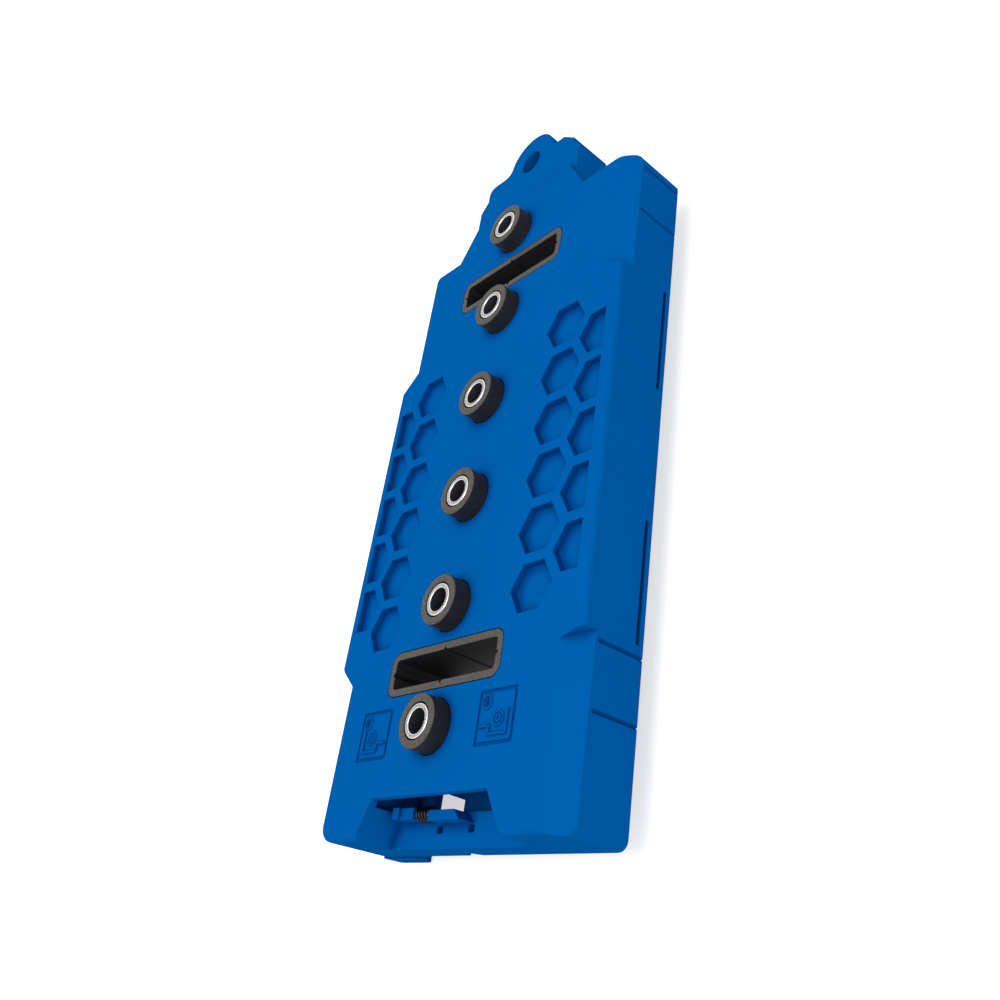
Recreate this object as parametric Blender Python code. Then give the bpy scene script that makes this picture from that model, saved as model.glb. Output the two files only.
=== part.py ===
"""Shelf pin drilling jig: a moulded body with six steel drill guides on a 32 mm pitch.

Frame: X runs across the jig, Y along it towards the joining ear, and +Z points out of its
front face. The jig lies on its back. Z = 0 is the lowest face, under the fence bar, and
X = 0, Y = 0 is the middle of the whole jig's footprint. Inside the script, pieces are placed
from a datum empty that stands where the first guide's axis meets the back face.
All lengths are in metres.
"""
import math

import bmesh
import bpy
from mathutils import Matrix, Vector

# Clearances and facets
FIT_GAP = 0.0003
CUT_OVERRUN = 0.002
ROUND_SIDES = 32
FILLET_STEPS = 4
EDGE_STEPS = 3
MERGE_DISTANCE = 0.000002

# Drill guides
GUIDE_COUNT = 6
GUIDE_PITCH = 0.032
COLLAR_RADIUS = 0.0070
COLLAR_STAND = 0.0051
COLLAR_EDGE = 0.0004
BUSHING_RADIUS = 0.0045
BUSHING_SEAT_GAP = 0.0004
BUSHING_BORE_RADIUS = 0.00325
BUSHING_MOUTH = 0.0003

# Body
BODY_DEPTH = 0.0205
END_HALF_WIDTH = 0.0425
SIDE_STEP = 0.0067
SIDE_BEVEL_DROP = 0.0047
BOTTOM_REACH = 0.0267
SHOULDER_REACH = 0.0042
BOTTOM_STEP_Y = 0.0156
BOTTOM_STEP_RUN = 0.0042
TOP_STEP_Y = 0.1240
TOP_STEP_RUN = 0.0044
BOTTOM_BEVEL_RUN = 0.0024
TOP_BEVEL_RUN = 0.0022
BOTTOM_CORNER_RADIUS = 0.0040
SIDE_CORNER_RADIUS = 0.0026
STEP_CORNER_RADIUS = 0.0010
EDGE_ROUND = 0.0018
BACK_ROUND_SHARE = 0.3
SHARP_ANGLE = 35
WALL = 0.0026
RIB = 0.0018
BOSS_WALL = 0.0022

# Joining nose, tab and ear at the top end
NOSE_BASE_HALF = 0.0284
NOSE_TIP_HALF = 0.0216
NOSE_REACH = 0.0111
NOSE_THICKNESS = 0.0030
NOSE_DROP = 0.0001
TAB_DROP = 0.0012
TAB_FLOOR = 0.0045
TAB_HALF_WIDTH = 0.0238
TAB_WIDE_END = 0.0190
TAB_NECK_HALF = 0.0208
TAB_NECK_RUN = 0.0038
TAB_END = 0.0283
TAB_CUT_RUN = 0.0052
TAB_CUT_DROP = 0.0040
TAB_CORNER_RADIUS = 0.0025
EAR_RADIUS = 0.0100
EAR_OFFSET = 0.0008
EAR_HOLE_RADIUS = 0.0042
EAR_BLEND_RADIUS = 0.0030

# Joining recess at the bottom end
RECESS_LEFT_INNER = 0.0206
RECESS_LEFT_OUTER = 0.0256
RECESS_RIGHT_INNER = 0.0243
RECESS_RIGHT_OUTER = 0.0306
RECESS_REACH = 0.0102
RECESS_FLOOR = 0.0085
STRIP_WIDTH = 0.0085
POCKET_REACH = 0.0025
POCKET_ROOF = 0.0022
BACK_WINDOW_INNER = 0.0056
BACK_WINDOW_OUTER = 0.0182
BACK_WINDOW_INNER_RISE = 0.0030
BACK_WINDOW_OUTER_RISE = 0.0062
SIGHT_NOTCH_HALF = 0.0031
SIGHT_NOTCH_RISE = 0.0030
SIGHT_NOTCH_RUN = 0.0016
SOCKET_PITCH = 0.0122
SOCKET_COUNT = 2
SOCKET_WIDTH = 0.0023
SOCKET_LENGTH = 0.0018
SOCKET_DEPTH = 0.0030

# Hexagon grip pockets
HEX_SIDE = 0.00737
HEX_PITCH = 0.01565
HEX_DEPTH = 0.0021
HEX_FIRST_Y = 0.03106
HEX_COLUMN_STEP = 0.0137
HEX_CUT_OFFSET = 0.0018
HEX_MARGIN = 0.0036
HEX_ROWS = 6

# Window slots and their liners
SLOT_LENGTH = 0.0452
SLOT_HEIGHT = 0.0121
SLOT_CORNER_RADIUS = 0.0030
LINER_WALL = 0.0019
LINER_NOTCH_DEPTH = 0.0009
LINER_NOTCH_HALF = 0.0007
LINER_INNER_RADIUS = 0.0012

# Picture panels
PANEL_SIZE = 0.0133
PANEL_LEFT_X = -0.0249
PANEL_RIGHT_X = 0.0240
PANEL_DEPTH = 0.0004
PANEL_RIM = 0.0009
PANEL_CORNER_RADIUS = 0.0006

# Right wall: centre marks and snap windows
MARK_HALF_WIDTH = 0.0006
MARK_DEPTH = 0.0007
SNAP_WINDOW_HEIGHT = 0.0012
SNAP_WINDOW_LENGTH = 0.0322
SNAP_LOW_SETBACK = 0.0190
SNAP_HIGH_SETBACK = 0.0380
SNAP_LUG_REACH = 0.0016

# Base plate
PLATE_THICKNESS = 0.0024
SCREW_HEAD_RADIUS = 0.0029
SCREW_HEAD_HEIGHT = 0.0014
SCREW_SHANK_RADIUS = 0.0014
SCREW_LENGTH = 0.0078
SCREW_SIDE_SETBACK = 0.0070
SCREW_BOTTOM_SETBACK = 0.0117
SCREW_TOP_SETBACK = 0.0122
SCREW_BOSS_RADIUS = 0.0040
PAD_WIDTH = 0.0080
PAD_LENGTH = 0.0360
PAD_THICKNESS = 0.0016
PAD_STAND = 0.0008
PAD_X = 0.0215

# Swivel fence
FENCE_DROP = 0.0075
FENCE_GAP = 0.0013
FENCE_BAR_WIDTH = 0.0143
FENCE_NEAR_SETBACK = 0.0280
FENCE_FAR_SETBACK = 0.0370
FENCE_BAR_CORNER = 0.0014
FENCE_ARM_THICKNESS = 0.0030
FENCE_ARM_WIDTH = 0.0200
FENCE_HUB_RADIUS = 0.0121
FENCE_PIVOT_ROW = 2.5
DETENT_RADIUS = 0.0094
BALL_RADIUS = 0.0020
BALL_STAND = 0.0018
DETENT_SPRING_RADIUS = 0.0014
DETENT_SPRING_WIRE = 0.00025
DETENT_SPRING_LENGTH = 0.0062
DETENT_SPRING_TURNS = 5
PIVOT_SHOULDER_RADIUS = 0.0030
PIVOT_THREAD_RADIUS = 0.0020
PIVOT_THREAD_LENGTH = 0.0100
PIVOT_HEAD_RADIUS = 0.0055
PIVOT_HEAD_HEIGHT = 0.0014
WASHER_THICKNESS = 0.0004
WASHER_RADIUS = 0.0050

# Sliding catch in the recess
CATCH_SIDE_GAP = 0.0004
CATCH_POST_WIDTH = 0.0026
CATCH_FOOT_LENGTH = 0.0078
CATCH_OVERHANG = 0.0008
CATCH_DEPTH = 0.0028
CATCH_FOOT_HEIGHT = 0.0044
CATCH_POST_HEIGHT = 0.0052
CATCH_SPRING_RADIUS = 0.0018
CATCH_SPRING_WIRE = 0.00028
CATCH_SPRING_TURNS = 5
LEDGE_LEFT = -0.0054
LEDGE_WIDTH = 0.0122
LEDGE_SLANT = 0.0024
LEDGE_DEPTH = 0.0027
LEDGE_HEIGHT = 0.0049

# Worked out from the sizes above
GUIDE_SPAN = GUIDE_PITCH * (GUIDE_COUNT - 1)
BODY_HALF_WIDTH = END_HALF_WIDTH + SIDE_STEP
SHOULDER_Y = GUIDE_SPAN + SHOULDER_REACH
EAR_Y = GUIDE_SPAN + GUIDE_PITCH
EAR_END = EAR_OFFSET + EAR_RADIUS
TOP_Y = EAR_Y + EAR_END
MIDDLE_Y = (TOP_Y - BOTTOM_REACH) / 2
NOSE_SLOPE = (NOSE_BASE_HALF - NOSE_TIP_HALF) / NOSE_REACH
HEX_EDGE_X = BODY_HALF_WIDTH - HEX_MARGIN
HEX_OUTER_X = HEX_EDGE_X - HEX_CUT_OFFSET
HEX_INNER_X = HEX_OUTER_X - HEX_COLUMN_STEP
SLOT_ROWS = (GUIDE_PITCH / 2, GUIDE_SPAN - GUIDE_PITCH / 2)
SNAP_ROWS = (SLOT_ROWS[0] + SNAP_LOW_SETBACK, SLOT_ROWS[1] - SNAP_HIGH_SETBACK)
SCREW_X = END_HALF_WIDTH - SCREW_SIDE_SETBACK
SCREW_ROWS = (
    SCREW_BOTTOM_SETBACK - BOTTOM_REACH, GUIDE_SPAN / 2, SHOULDER_Y - SCREW_TOP_SETBACK,
)
PIVOT_X = (FENCE_FAR_SETBACK - FENCE_NEAR_SETBACK) / 2
PIVOT_Y = FENCE_PIVOT_ROW * GUIDE_PITCH
RECESS_Y = RECESS_REACH - BOTTOM_REACH
STRIP_Y = STRIP_WIDTH - BOTTOM_REACH
LEDGE_FRONT_Y = STRIP_Y - LEDGE_DEPTH
CATCH_BACK_Y = STRIP_Y + CATCH_OVERHANG
CATCH_LEFT = CATCH_SIDE_GAP - RECESS_LEFT_INNER


def clear_scene():
    """Remove every object so that the script gives the same result each run."""
    for item in list(bpy.data.objects):
        bpy.data.objects.remove(item, do_unlink=True)


def new_collection(name):
    group = bpy.data.collections.new(name)
    bpy.context.scene.collection.children.link(group)
    return group


def make_material(name, colour, roughness, metallic=0.0):
    material = bpy.data.materials.new(name)
    material.use_nodes = True
    shader = material.node_tree.nodes["Principled BSDF"]
    shader.inputs["Base Color"].default_value = (*colour, 1.0)
    shader.inputs["Roughness"].default_value = roughness
    shader.inputs["Metallic"].default_value = metallic
    return material


clear_scene()
PARTS = new_collection("shelf_pin_jig")
CUTTERS = new_collection("shelf_pin_jig_cutters")

BLUE = make_material("blue_moulded_plastic", (0.0, 0.123, 0.434), 0.45)
CHARCOAL = make_material("charcoal_moulded_plastic", (0.022, 0.021, 0.022), 0.6)
STEEL = make_material("hardened_steel", (0.62, 0.62, 0.64), 0.25, 1.0)
RUBBER = make_material("grip_rubber", (0.016, 0.016, 0.017), 0.85)
SPRING_STEEL = make_material("spring_steel", (0.12, 0.12, 0.13), 0.35, 1.0)

DATUM = bpy.data.objects.new("jig_datum", None)
DATUM.location = (0.0, -MIDDLE_Y, FENCE_DROP)
PARTS.objects.link(DATUM)

FENCE_PIVOT = bpy.data.objects.new("fence_pivot", None)
FENCE_PIVOT.parent = DATUM
FENCE_PIVOT.location = (PIVOT_X, PIVOT_Y, 0.0)
PARTS.objects.link(FENCE_PIVOT)


def add_object(name, mesh, material=None, parent=None):
    """Put a mesh in the model as a part, or among the cutters when it has no material."""
    item = bpy.data.objects.new(name, mesh)
    item.parent = parent or DATUM
    if material is None:
        CUTTERS.objects.link(item)
        item.hide_render = True
        item.display_type = "WIRE"
    else:
        PARTS.objects.link(item)
        mesh.materials.append(material)
    return item


def finish_mesh(name, shape):
    """Write a bmesh to a new mesh, shaded smooth with sharp edges kept."""
    bmesh.ops.recalc_face_normals(shape, faces=shape.faces)
    mesh = bpy.data.meshes.new(name)
    shape.to_mesh(mesh)
    shape.free()
    mesh.shade_smooth()
    mesh.set_sharp_from_angle(angle=math.radians(SHARP_ANGLE))
    return mesh


def prism_mesh(name, loops, low, high):
    """Extrude closed outlines, with any inner outline as a hole, from low to high in Z."""
    flat = bpy.data.curves.new(name + "_outline", "CURVE")
    flat.dimensions = "2D"
    flat.fill_mode = "BOTH"
    flat.extrude = (high - low) / 2
    for loop in loops:
        spline = flat.splines.new("POLY")
        spline.points.add(len(loop) - 1)
        for point, place in zip(spline.points, loop):
            point.co = (place[0], place[1], 0.0, 1.0)
        spline.use_cyclic_u = True
    holder = bpy.data.objects.new(name + "_outline", flat)
    bpy.context.scene.collection.objects.link(holder)
    bpy.context.view_layer.update()
    graph = bpy.context.evaluated_depsgraph_get()
    solid = bpy.data.meshes.new_from_object(holder.evaluated_get(graph))
    bpy.data.objects.remove(holder, do_unlink=True)
    shape = bmesh.new()
    shape.from_mesh(solid)
    bpy.data.meshes.remove(solid)
    bmesh.ops.remove_doubles(shape, verts=shape.verts, dist=MERGE_DISTANCE)
    bmesh.ops.translate(shape, verts=shape.verts, vec=(0.0, 0.0, (low + high) / 2))
    return finish_mesh(name, shape)


def prism(name, loops, low, high, material=None, parent=None):
    return add_object(name, prism_mesh(name, loops, low, high), material, parent)


def rounded(corners):
    """Turn corners given as (x, y, radius) into an outline with each corner as an arc."""
    outline = []
    count = len(corners)
    for index, (x, y, radius) in enumerate(corners):
        here = Vector((x, y))
        before = Vector(corners[index - 1][:2]) - here
        after = Vector(corners[(index + 1) % count][:2]) - here
        if radius <= 0.0:
            outline.append((x, y))
            continue
        opening = before.angle(after)
        reach = radius / math.tan(opening / 2)
        start = here + before.normalized() * reach
        end = here + after.normalized() * reach
        middle = (before.normalized() + after.normalized()).normalized()
        centre = here + middle * (radius / math.sin(opening / 2))
        first = start - centre
        turn = first.angle_signed(end - centre)
        for step in range(FILLET_STEPS + 1):
            spin = Matrix.Rotation(-turn * step / FILLET_STEPS, 2)
            outline.append(tuple(centre + spin @ first))
    return outline


def rectangle(low_x, low_y, high_x, high_y, radius=0.0):
    corners = [
        (low_x, low_y, radius),
        (high_x, low_y, radius),
        (high_x, high_y, radius),
        (low_x, high_y, radius),
    ]
    return rounded(corners)


def circle(centre_x, centre_y, radius, sides=ROUND_SIDES):
    step = 2 * math.pi / sides
    return [
        (centre_x + radius * math.cos(step * turn), centre_y + radius * math.sin(step * turn))
        for turn in range(sides)
    ]


def turned_mesh(name, profile, sides=ROUND_SIDES):
    """Spin a closed (radius, height) profile about Z."""
    shape = bmesh.new()
    ring = [shape.verts.new((radius, 0.0, height)) for radius, height in profile]
    edges = [shape.edges.new((ring[index - 1], ring[index])) for index in range(len(ring))]
    bmesh.ops.spin(
        shape,
        geom=ring + edges,
        cent=(0.0, 0.0, 0.0),
        axis=(0.0, 0.0, 1.0),
        angle=2 * math.pi,
        steps=sides,
        use_merge=True,
    )
    bmesh.ops.remove_doubles(shape, verts=shape.verts, dist=MERGE_DISTANCE)
    return finish_mesh(name, shape)


def hull_mesh(name, points):
    """Close a convex solid round a few points."""
    shape = bmesh.new()
    for point in points:
        shape.verts.new(point)
    bmesh.ops.convex_hull(shape, input=shape.verts)
    return finish_mesh(name, shape)


def box_mesh(name, low, high):
    shape = bmesh.new()
    bmesh.ops.create_cube(shape, size=1.0)
    size = [high[axis] - low[axis] for axis in range(3)]
    middle = [(high[axis] + low[axis]) / 2 for axis in range(3)]
    bmesh.ops.scale(shape, verts=shape.verts, vec=size)
    bmesh.ops.translate(shape, verts=shape.verts, vec=middle)
    return finish_mesh(name, shape)


def joined(name, meshes):
    """Put several separate solids into one mesh."""
    shape = bmesh.new()
    for mesh in meshes:
        shape.from_mesh(mesh)
        bpy.data.meshes.remove(mesh)
    return finish_mesh(name, shape)


def combine(target, tool, operation="DIFFERENCE"):
    boolean = target.modifiers.new(tool.name, "BOOLEAN")
    boolean.operation = operation
    boolean.solver = "EXACT"
    boolean.object = tool
    return boolean


def helix_mesh(name, radius, wire, length, turns, steps_per_turn=10):
    """A compression spring along +Z, with its wire's ends capped."""
    coil = bpy.data.curves.new(name + "_path", "CURVE")
    coil.dimensions = "3D"
    coil.bevel_depth = wire
    coil.bevel_resolution = 1
    coil.use_fill_caps = True
    spline = coil.splines.new("POLY")
    count = turns * steps_per_turn
    spline.points.add(count)
    for step in range(count + 1):
        angle = 2 * math.pi * step / steps_per_turn
        rise = wire + (length - 2 * wire) * step / count
        spline.points[step].co = (radius * math.cos(angle), radius * math.sin(angle), rise, 1.0)
    holder = bpy.data.objects.new(name + "_path", coil)
    bpy.context.scene.collection.objects.link(holder)
    bpy.context.view_layer.update()
    graph = bpy.context.evaluated_depsgraph_get()
    solid = bpy.data.meshes.new_from_object(holder.evaluated_get(graph))
    bpy.data.objects.remove(holder, do_unlink=True)
    shape = bmesh.new()
    shape.from_mesh(solid)
    bpy.data.meshes.remove(solid)
    bmesh.ops.remove_doubles(shape, verts=shape.verts, dist=MERGE_DISTANCE)
    return finish_mesh(name, shape)


def guide_rows():
    return [GUIDE_PITCH * index for index in range(GUIDE_COUNT)]


def body_outline(inset=0.0):
    """Plan outline of the body, drawn in by inset. Its left side carries the grip's step."""
    left_end = -END_HALF_WIDTH + inset
    left_grip = -BODY_HALF_WIDTH + inset
    right = BODY_HALF_WIDTH - inset
    bottom = -BOTTOM_REACH + inset
    top = SHOULDER_Y - inset
    lean = inset * math.tan(math.radians(25))
    corner = max(BOTTOM_CORNER_RADIUS - inset, STEP_CORNER_RADIUS)
    side = max(SIDE_CORNER_RADIUS - inset, STEP_CORNER_RADIUS)
    grip_run = BODY_HALF_WIDTH - END_HALF_WIDTH
    bottom_rise = BOTTOM_STEP_RUN * grip_run / (grip_run - EDGE_ROUND)
    top_rise = TOP_STEP_RUN * grip_run / (grip_run - EDGE_ROUND)
    return rounded([
        (left_end, bottom, corner),
        (right, bottom, side),
        (right, top, side),
        (left_end, top, side),
        (left_end, TOP_STEP_Y - lean, STEP_CORNER_RADIUS),
        (left_grip, TOP_STEP_Y - top_rise - lean, STEP_CORNER_RADIUS),
        (left_grip, BOTTOM_STEP_Y + bottom_rise + lean, STEP_CORNER_RADIUS),
        (left_end, BOTTOM_STEP_Y + lean, STEP_CORNER_RADIUS),
    ])


def side_bevel_mesh(name, far_y, step_y, step_run):
    """Wedge that takes the front right edge off an end block, from far_y to the grip's step."""
    run = BODY_HALF_WIDTH - END_HALF_WIDTH
    slope = SIDE_BEVEL_DROP / run
    outside = BODY_HALF_WIDTH + CUT_OVERRUN
    inside = END_HALF_WIDTH - CUT_OVERRUN / slope
    section = [
        (inside, BODY_DEPTH + CUT_OVERRUN),
        (outside, BODY_DEPTH + CUT_OVERRUN),
        (outside, BODY_DEPTH - SIDE_BEVEL_DROP - CUT_OVERRUN * slope),
    ]
    lean = step_run / run
    points = []
    for x, z in section:
        points.append((x, far_y, z))
        points.append((x, step_y + lean * (x - END_HALF_WIDTH), z))
    return hull_mesh(name, points)


def hexagon(centre_x, centre_y):
    """Hexagon with two sides along X, cut off straight at the pocket field's outer edge."""
    corners = []
    for turn in range(6):
        angle = math.radians(60 * turn)
        corners.append(Vector((
            centre_x + HEX_SIDE * math.cos(angle),
            centre_y + HEX_SIDE * math.sin(angle),
        )))
    limit = math.copysign(HEX_EDGE_X, centre_x)
    kept = []
    for index, corner in enumerate(corners):
        previous = corners[index - 1]
        inside = abs(corner.x) <= HEX_EDGE_X
        was_inside = abs(previous.x) <= HEX_EDGE_X
        if inside != was_inside:
            share = (limit - previous.x) / (corner.x - previous.x)
            kept.append(tuple(previous.lerp(corner, share)))
        if inside:
            kept.append(tuple(corner))
    return kept


def hexagon_pockets_mesh():
    low = BODY_DEPTH - HEX_DEPTH
    high = BODY_DEPTH + CUT_OVERRUN
    meshes = []
    for side in (-1, 1):
        for row in range(HEX_ROWS):
            y = HEX_FIRST_Y + HEX_PITCH * row
            meshes.append(prism_mesh("hexagon", [hexagon(side * HEX_INNER_X, y)], low, high))
            if row < HEX_ROWS - 1:
                outline = hexagon(side * HEX_OUTER_X, y + HEX_PITCH / 2)
                meshes.append(prism_mesh("hexagon", [outline], low, high))
    return joined("hexagon_pockets", meshes)


def slot_outline(row_y, margin=0.0):
    half_length = SLOT_LENGTH / 2 + margin
    half_height = SLOT_HEIGHT / 2 + margin
    radius = SLOT_CORNER_RADIUS + margin
    return rectangle(-half_length, row_y - half_height, half_length, row_y + half_height, radius)


def liner_opening(row_y):
    """Inner outline of a window liner, with a sighting notch in the middle of each side."""
    half_length = SLOT_LENGTH / 2 - LINER_WALL
    half_height = SLOT_HEIGHT / 2 - LINER_WALL
    notch = LINER_NOTCH_HALF
    deep = LINER_NOTCH_DEPTH
    low = row_y - half_height
    high = row_y + half_height
    return rounded([
        (-half_length, low, LINER_INNER_RADIUS),
        (-notch, low, 0.0),
        (0.0, low - deep, 0.0),
        (notch, low, 0.0),
        (half_length, low, LINER_INNER_RADIUS),
        (half_length, row_y - notch, 0.0),
        (half_length + deep, row_y, 0.0),
        (half_length, row_y + notch, 0.0),
        (half_length, high, LINER_INNER_RADIUS),
        (notch, high, 0.0),
        (0.0, high + deep, 0.0),
        (-notch, high, 0.0),
        (-half_length, high, LINER_INNER_RADIUS),
        (-half_length, row_y + notch, 0.0),
        (-half_length - deep, row_y, 0.0),
        (-half_length, row_y - notch, 0.0),
    ])


def half_tab(corners):
    """Right half of the tab's outline: the given corners, then the blend into the round ear."""
    ear_centre = EAR_Y + EAR_OFFSET
    blend_y = SHOULDER_Y + TAB_END
    reach = EAR_RADIUS + EAR_BLEND_RADIUS
    blend_rise = blend_y + EAR_BLEND_RADIUS - ear_centre
    blend_run = math.sqrt(reach * reach - blend_rise * blend_rise)
    outline = rounded([(0.0, SHOULDER_Y - WALL, 0.0)] + corners + [(blend_run, blend_y, 0.0)])
    side = outline[1:]
    start = math.atan2(blend_rise, blend_run)
    turn = math.pi / 2 - start
    for step in range(1, FILLET_STEPS + 1):
        angle = -math.pi / 2 - turn * step / FILLET_STEPS
        side.append((
            blend_run + EAR_BLEND_RADIUS * math.cos(angle),
            blend_y + EAR_BLEND_RADIUS + EAR_BLEND_RADIUS * math.sin(angle),
        ))
    steps = ROUND_SIDES // 3
    for step in range(1, steps):
        angle = start + turn * step / steps
        side.append((EAR_RADIUS * math.cos(angle), ear_centre + EAR_RADIUS * math.sin(angle)))
    return side


def tab_outline():
    """Plan outline of the joining tab: shoulders, necks, one corner cut off, and the ear."""
    neck_y = SHOULDER_Y + TAB_WIDE_END
    end_y = SHOULDER_Y + TAB_END
    flank = [
        (TAB_HALF_WIDTH, SHOULDER_Y - WALL, 0.0),
        (TAB_HALF_WIDTH, neck_y, STEP_CORNER_RADIUS),
        (TAB_NECK_HALF, neck_y + TAB_NECK_RUN, STEP_CORNER_RADIUS),
    ]
    cut_corner = [
        (TAB_NECK_HALF, end_y - TAB_CUT_DROP, 0.0),
        (TAB_NECK_HALF - TAB_CUT_RUN, end_y, STEP_CORNER_RADIUS),
    ]
    round_corner = [(TAB_NECK_HALF, end_y, TAB_CORNER_RADIUS)]
    right = half_tab(flank + cut_corner)
    left = [(-x, y) for x, y in reversed(half_tab(flank + round_corner))]
    return right + [(0.0, TOP_Y)] + left


def screw_places():
    places = []
    for y in SCREW_ROWS:
        for side in (-1, 1):
            places.append((side * SCREW_X, y))
    return places


def pad_places():
    places = {}
    middle = GUIDE_SPAN / 2
    for row, y in (("lower", middle - GUIDE_PITCH), ("upper", middle + GUIDE_PITCH)):
        for side, x in (("left", -PAD_X), ("right", PAD_X)):
            places["grip_pad_" + row + "_" + side] = (x, y)
    return places


def recess_meshes():
    """Cutters of the joining recess: the open mouth, the ear's pocket and the sight slot."""
    mouth_y = -BOTTOM_REACH - CUT_OVERRUN
    flare = CUT_OVERRUN / RECESS_REACH
    left = RECESS_LEFT_OUTER + (RECESS_LEFT_OUTER - RECESS_LEFT_INNER) * flare
    right = RECESS_RIGHT_OUTER + (RECESS_RIGHT_OUTER - RECESS_RIGHT_INNER) * flare
    mouth = [
        (-left, mouth_y),
        (right, mouth_y),
        (RECESS_RIGHT_INNER, RECESS_Y),
        (-RECESS_LEFT_INNER, RECESS_Y),
    ]
    half = TAB_HALF_WIDTH + FIT_GAP
    pocket = rectangle(-half, STRIP_Y, half, POCKET_REACH, STEP_CORNER_RADIUS)
    top = BODY_DEPTH + CUT_OVERRUN
    return [
        prism_mesh("recess_mouth", [mouth], RECESS_FLOOR, top),
        prism_mesh("tab_pocket", [pocket], PLATE_THICKNESS, BODY_DEPTH - POCKET_ROOF),
        ear_pocket_mesh(),
    ]


def ear_pocket_mesh():
    """Cutter for the round end of the pocket that the next jig's ear goes into."""
    ear = circle(0.0, EAR_OFFSET, EAR_RADIUS + FIT_GAP)
    return prism_mesh("ear_pocket", [ear], PLATE_THICKNESS, BODY_DEPTH - POCKET_ROOF)


def hollow_mesh_parts():
    """Outline of the moulding's inner hollow, and the bosses and ribs that stay in it."""
    hollow_bottom = EAR_END + FIT_GAP + WALL
    corners = [
        (-END_HALF_WIDTH + WALL, hollow_bottom),
        (BODY_HALF_WIDTH - WALL, hollow_bottom),
        (BODY_HALF_WIDTH - WALL, SHOULDER_Y - WALL),
        (-END_HALF_WIDTH + WALL, SHOULDER_Y - WALL),
    ]
    low = PLATE_THICKNESS + FIT_GAP - CUT_OVERRUN / 10
    high = BODY_DEPTH - SIDE_BEVEL_DROP - WALL / 2
    return prism("hollow", [corners], low, high), low, high


def keep_in_hollow(hollow, low, high):
    """Take the guide bosses, window walls, screw bosses and ribs out of the hollow's cutter."""
    bottom = low - CUT_OVERRUN
    top = high + CUT_OVERRUN
    bosses = []
    for y in guide_rows():
        radius = COLLAR_RADIUS + FIT_GAP + BOSS_WALL
        bosses.append(prism_mesh("boss", [circle(0.0, y, radius)], bottom, top))
    combine(hollow, add_object("guide_bosses", joined("guide_bosses", bosses)))
    walls = []
    for y in SLOT_ROWS:
        outline = slot_outline(y, FIT_GAP + BOSS_WALL)
        walls.append(prism_mesh("wall", [outline], bottom, top))
    combine(hollow, add_object("window_walls", joined("window_walls", walls)))
    posts = []
    for x, y in screw_places():
        posts.append(prism_mesh("post", [circle(x, y, SCREW_BOSS_RADIUS, 20)], bottom, top))
    combine(hollow, add_object("screw_posts", joined("screw_posts", posts)))
    reach = DETENT_RADIUS + BALL_RADIUS + BOSS_WALL
    block = rectangle(
        PIVOT_X - reach, PIVOT_Y - PIVOT_HEAD_RADIUS,
        PIVOT_X + PIVOT_HEAD_RADIUS, PIVOT_Y + PIVOT_HEAD_RADIUS, STEP_CORNER_RADIUS,
    )
    combine(hollow, prism("pivot_block", [block], bottom, top))
    long_ribs = []
    for x in (-SLOT_LENGTH / 2 - BOSS_WALL, SLOT_LENGTH / 2 + BOSS_WALL):
        long_ribs.append(box_mesh(
            "rib",
            (x - RIB / 2, -BOTTOM_REACH, bottom),
            (x + RIB / 2, SHOULDER_Y, top),
        ))
    combine(hollow, add_object("long_ribs", joined("long_ribs", long_ribs)))
    cross_ribs = []
    for y in guide_rows()[1:]:
        cross_ribs.append(box_mesh(
            "rib",
            (-BODY_HALF_WIDTH, y - RIB / 2, bottom),
            (BODY_HALF_WIDTH, y + RIB / 2, top),
        ))
    combine(hollow, add_object("cross_ribs", joined("cross_ribs", cross_ribs)))


def body_mesh():
    """Loft the body through its inset outlines, which rounds the front and the back rim."""
    back = EDGE_ROUND * BACK_ROUND_SHARE
    sections = []
    for step in range(EDGE_STEPS + 1):
        angle = math.pi / 2 * step / EDGE_STEPS
        sections.append((back * (1 - math.sin(angle)), back * (1 - math.cos(angle))))
    for step in range(EDGE_STEPS + 1):
        angle = math.pi / 2 * step / EDGE_STEPS
        height = BODY_DEPTH - EDGE_ROUND * (1 - math.sin(angle))
        sections.append((EDGE_ROUND * (1 - math.cos(angle)), height))
    shape = bmesh.new()
    rings = []
    for inset, height in sections:
        rings.append([shape.verts.new((x, y, height)) for x, y in body_outline(inset)])
    for low, high in zip(rings, rings[1:]):
        for index in range(len(low)):
            shape.faces.new((low[index - 1], low[index], high[index], high[index - 1]))
    shape.faces.new(rings[0])
    shape.faces.new(rings[-1])
    return finish_mesh("housing", shape)


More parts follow.
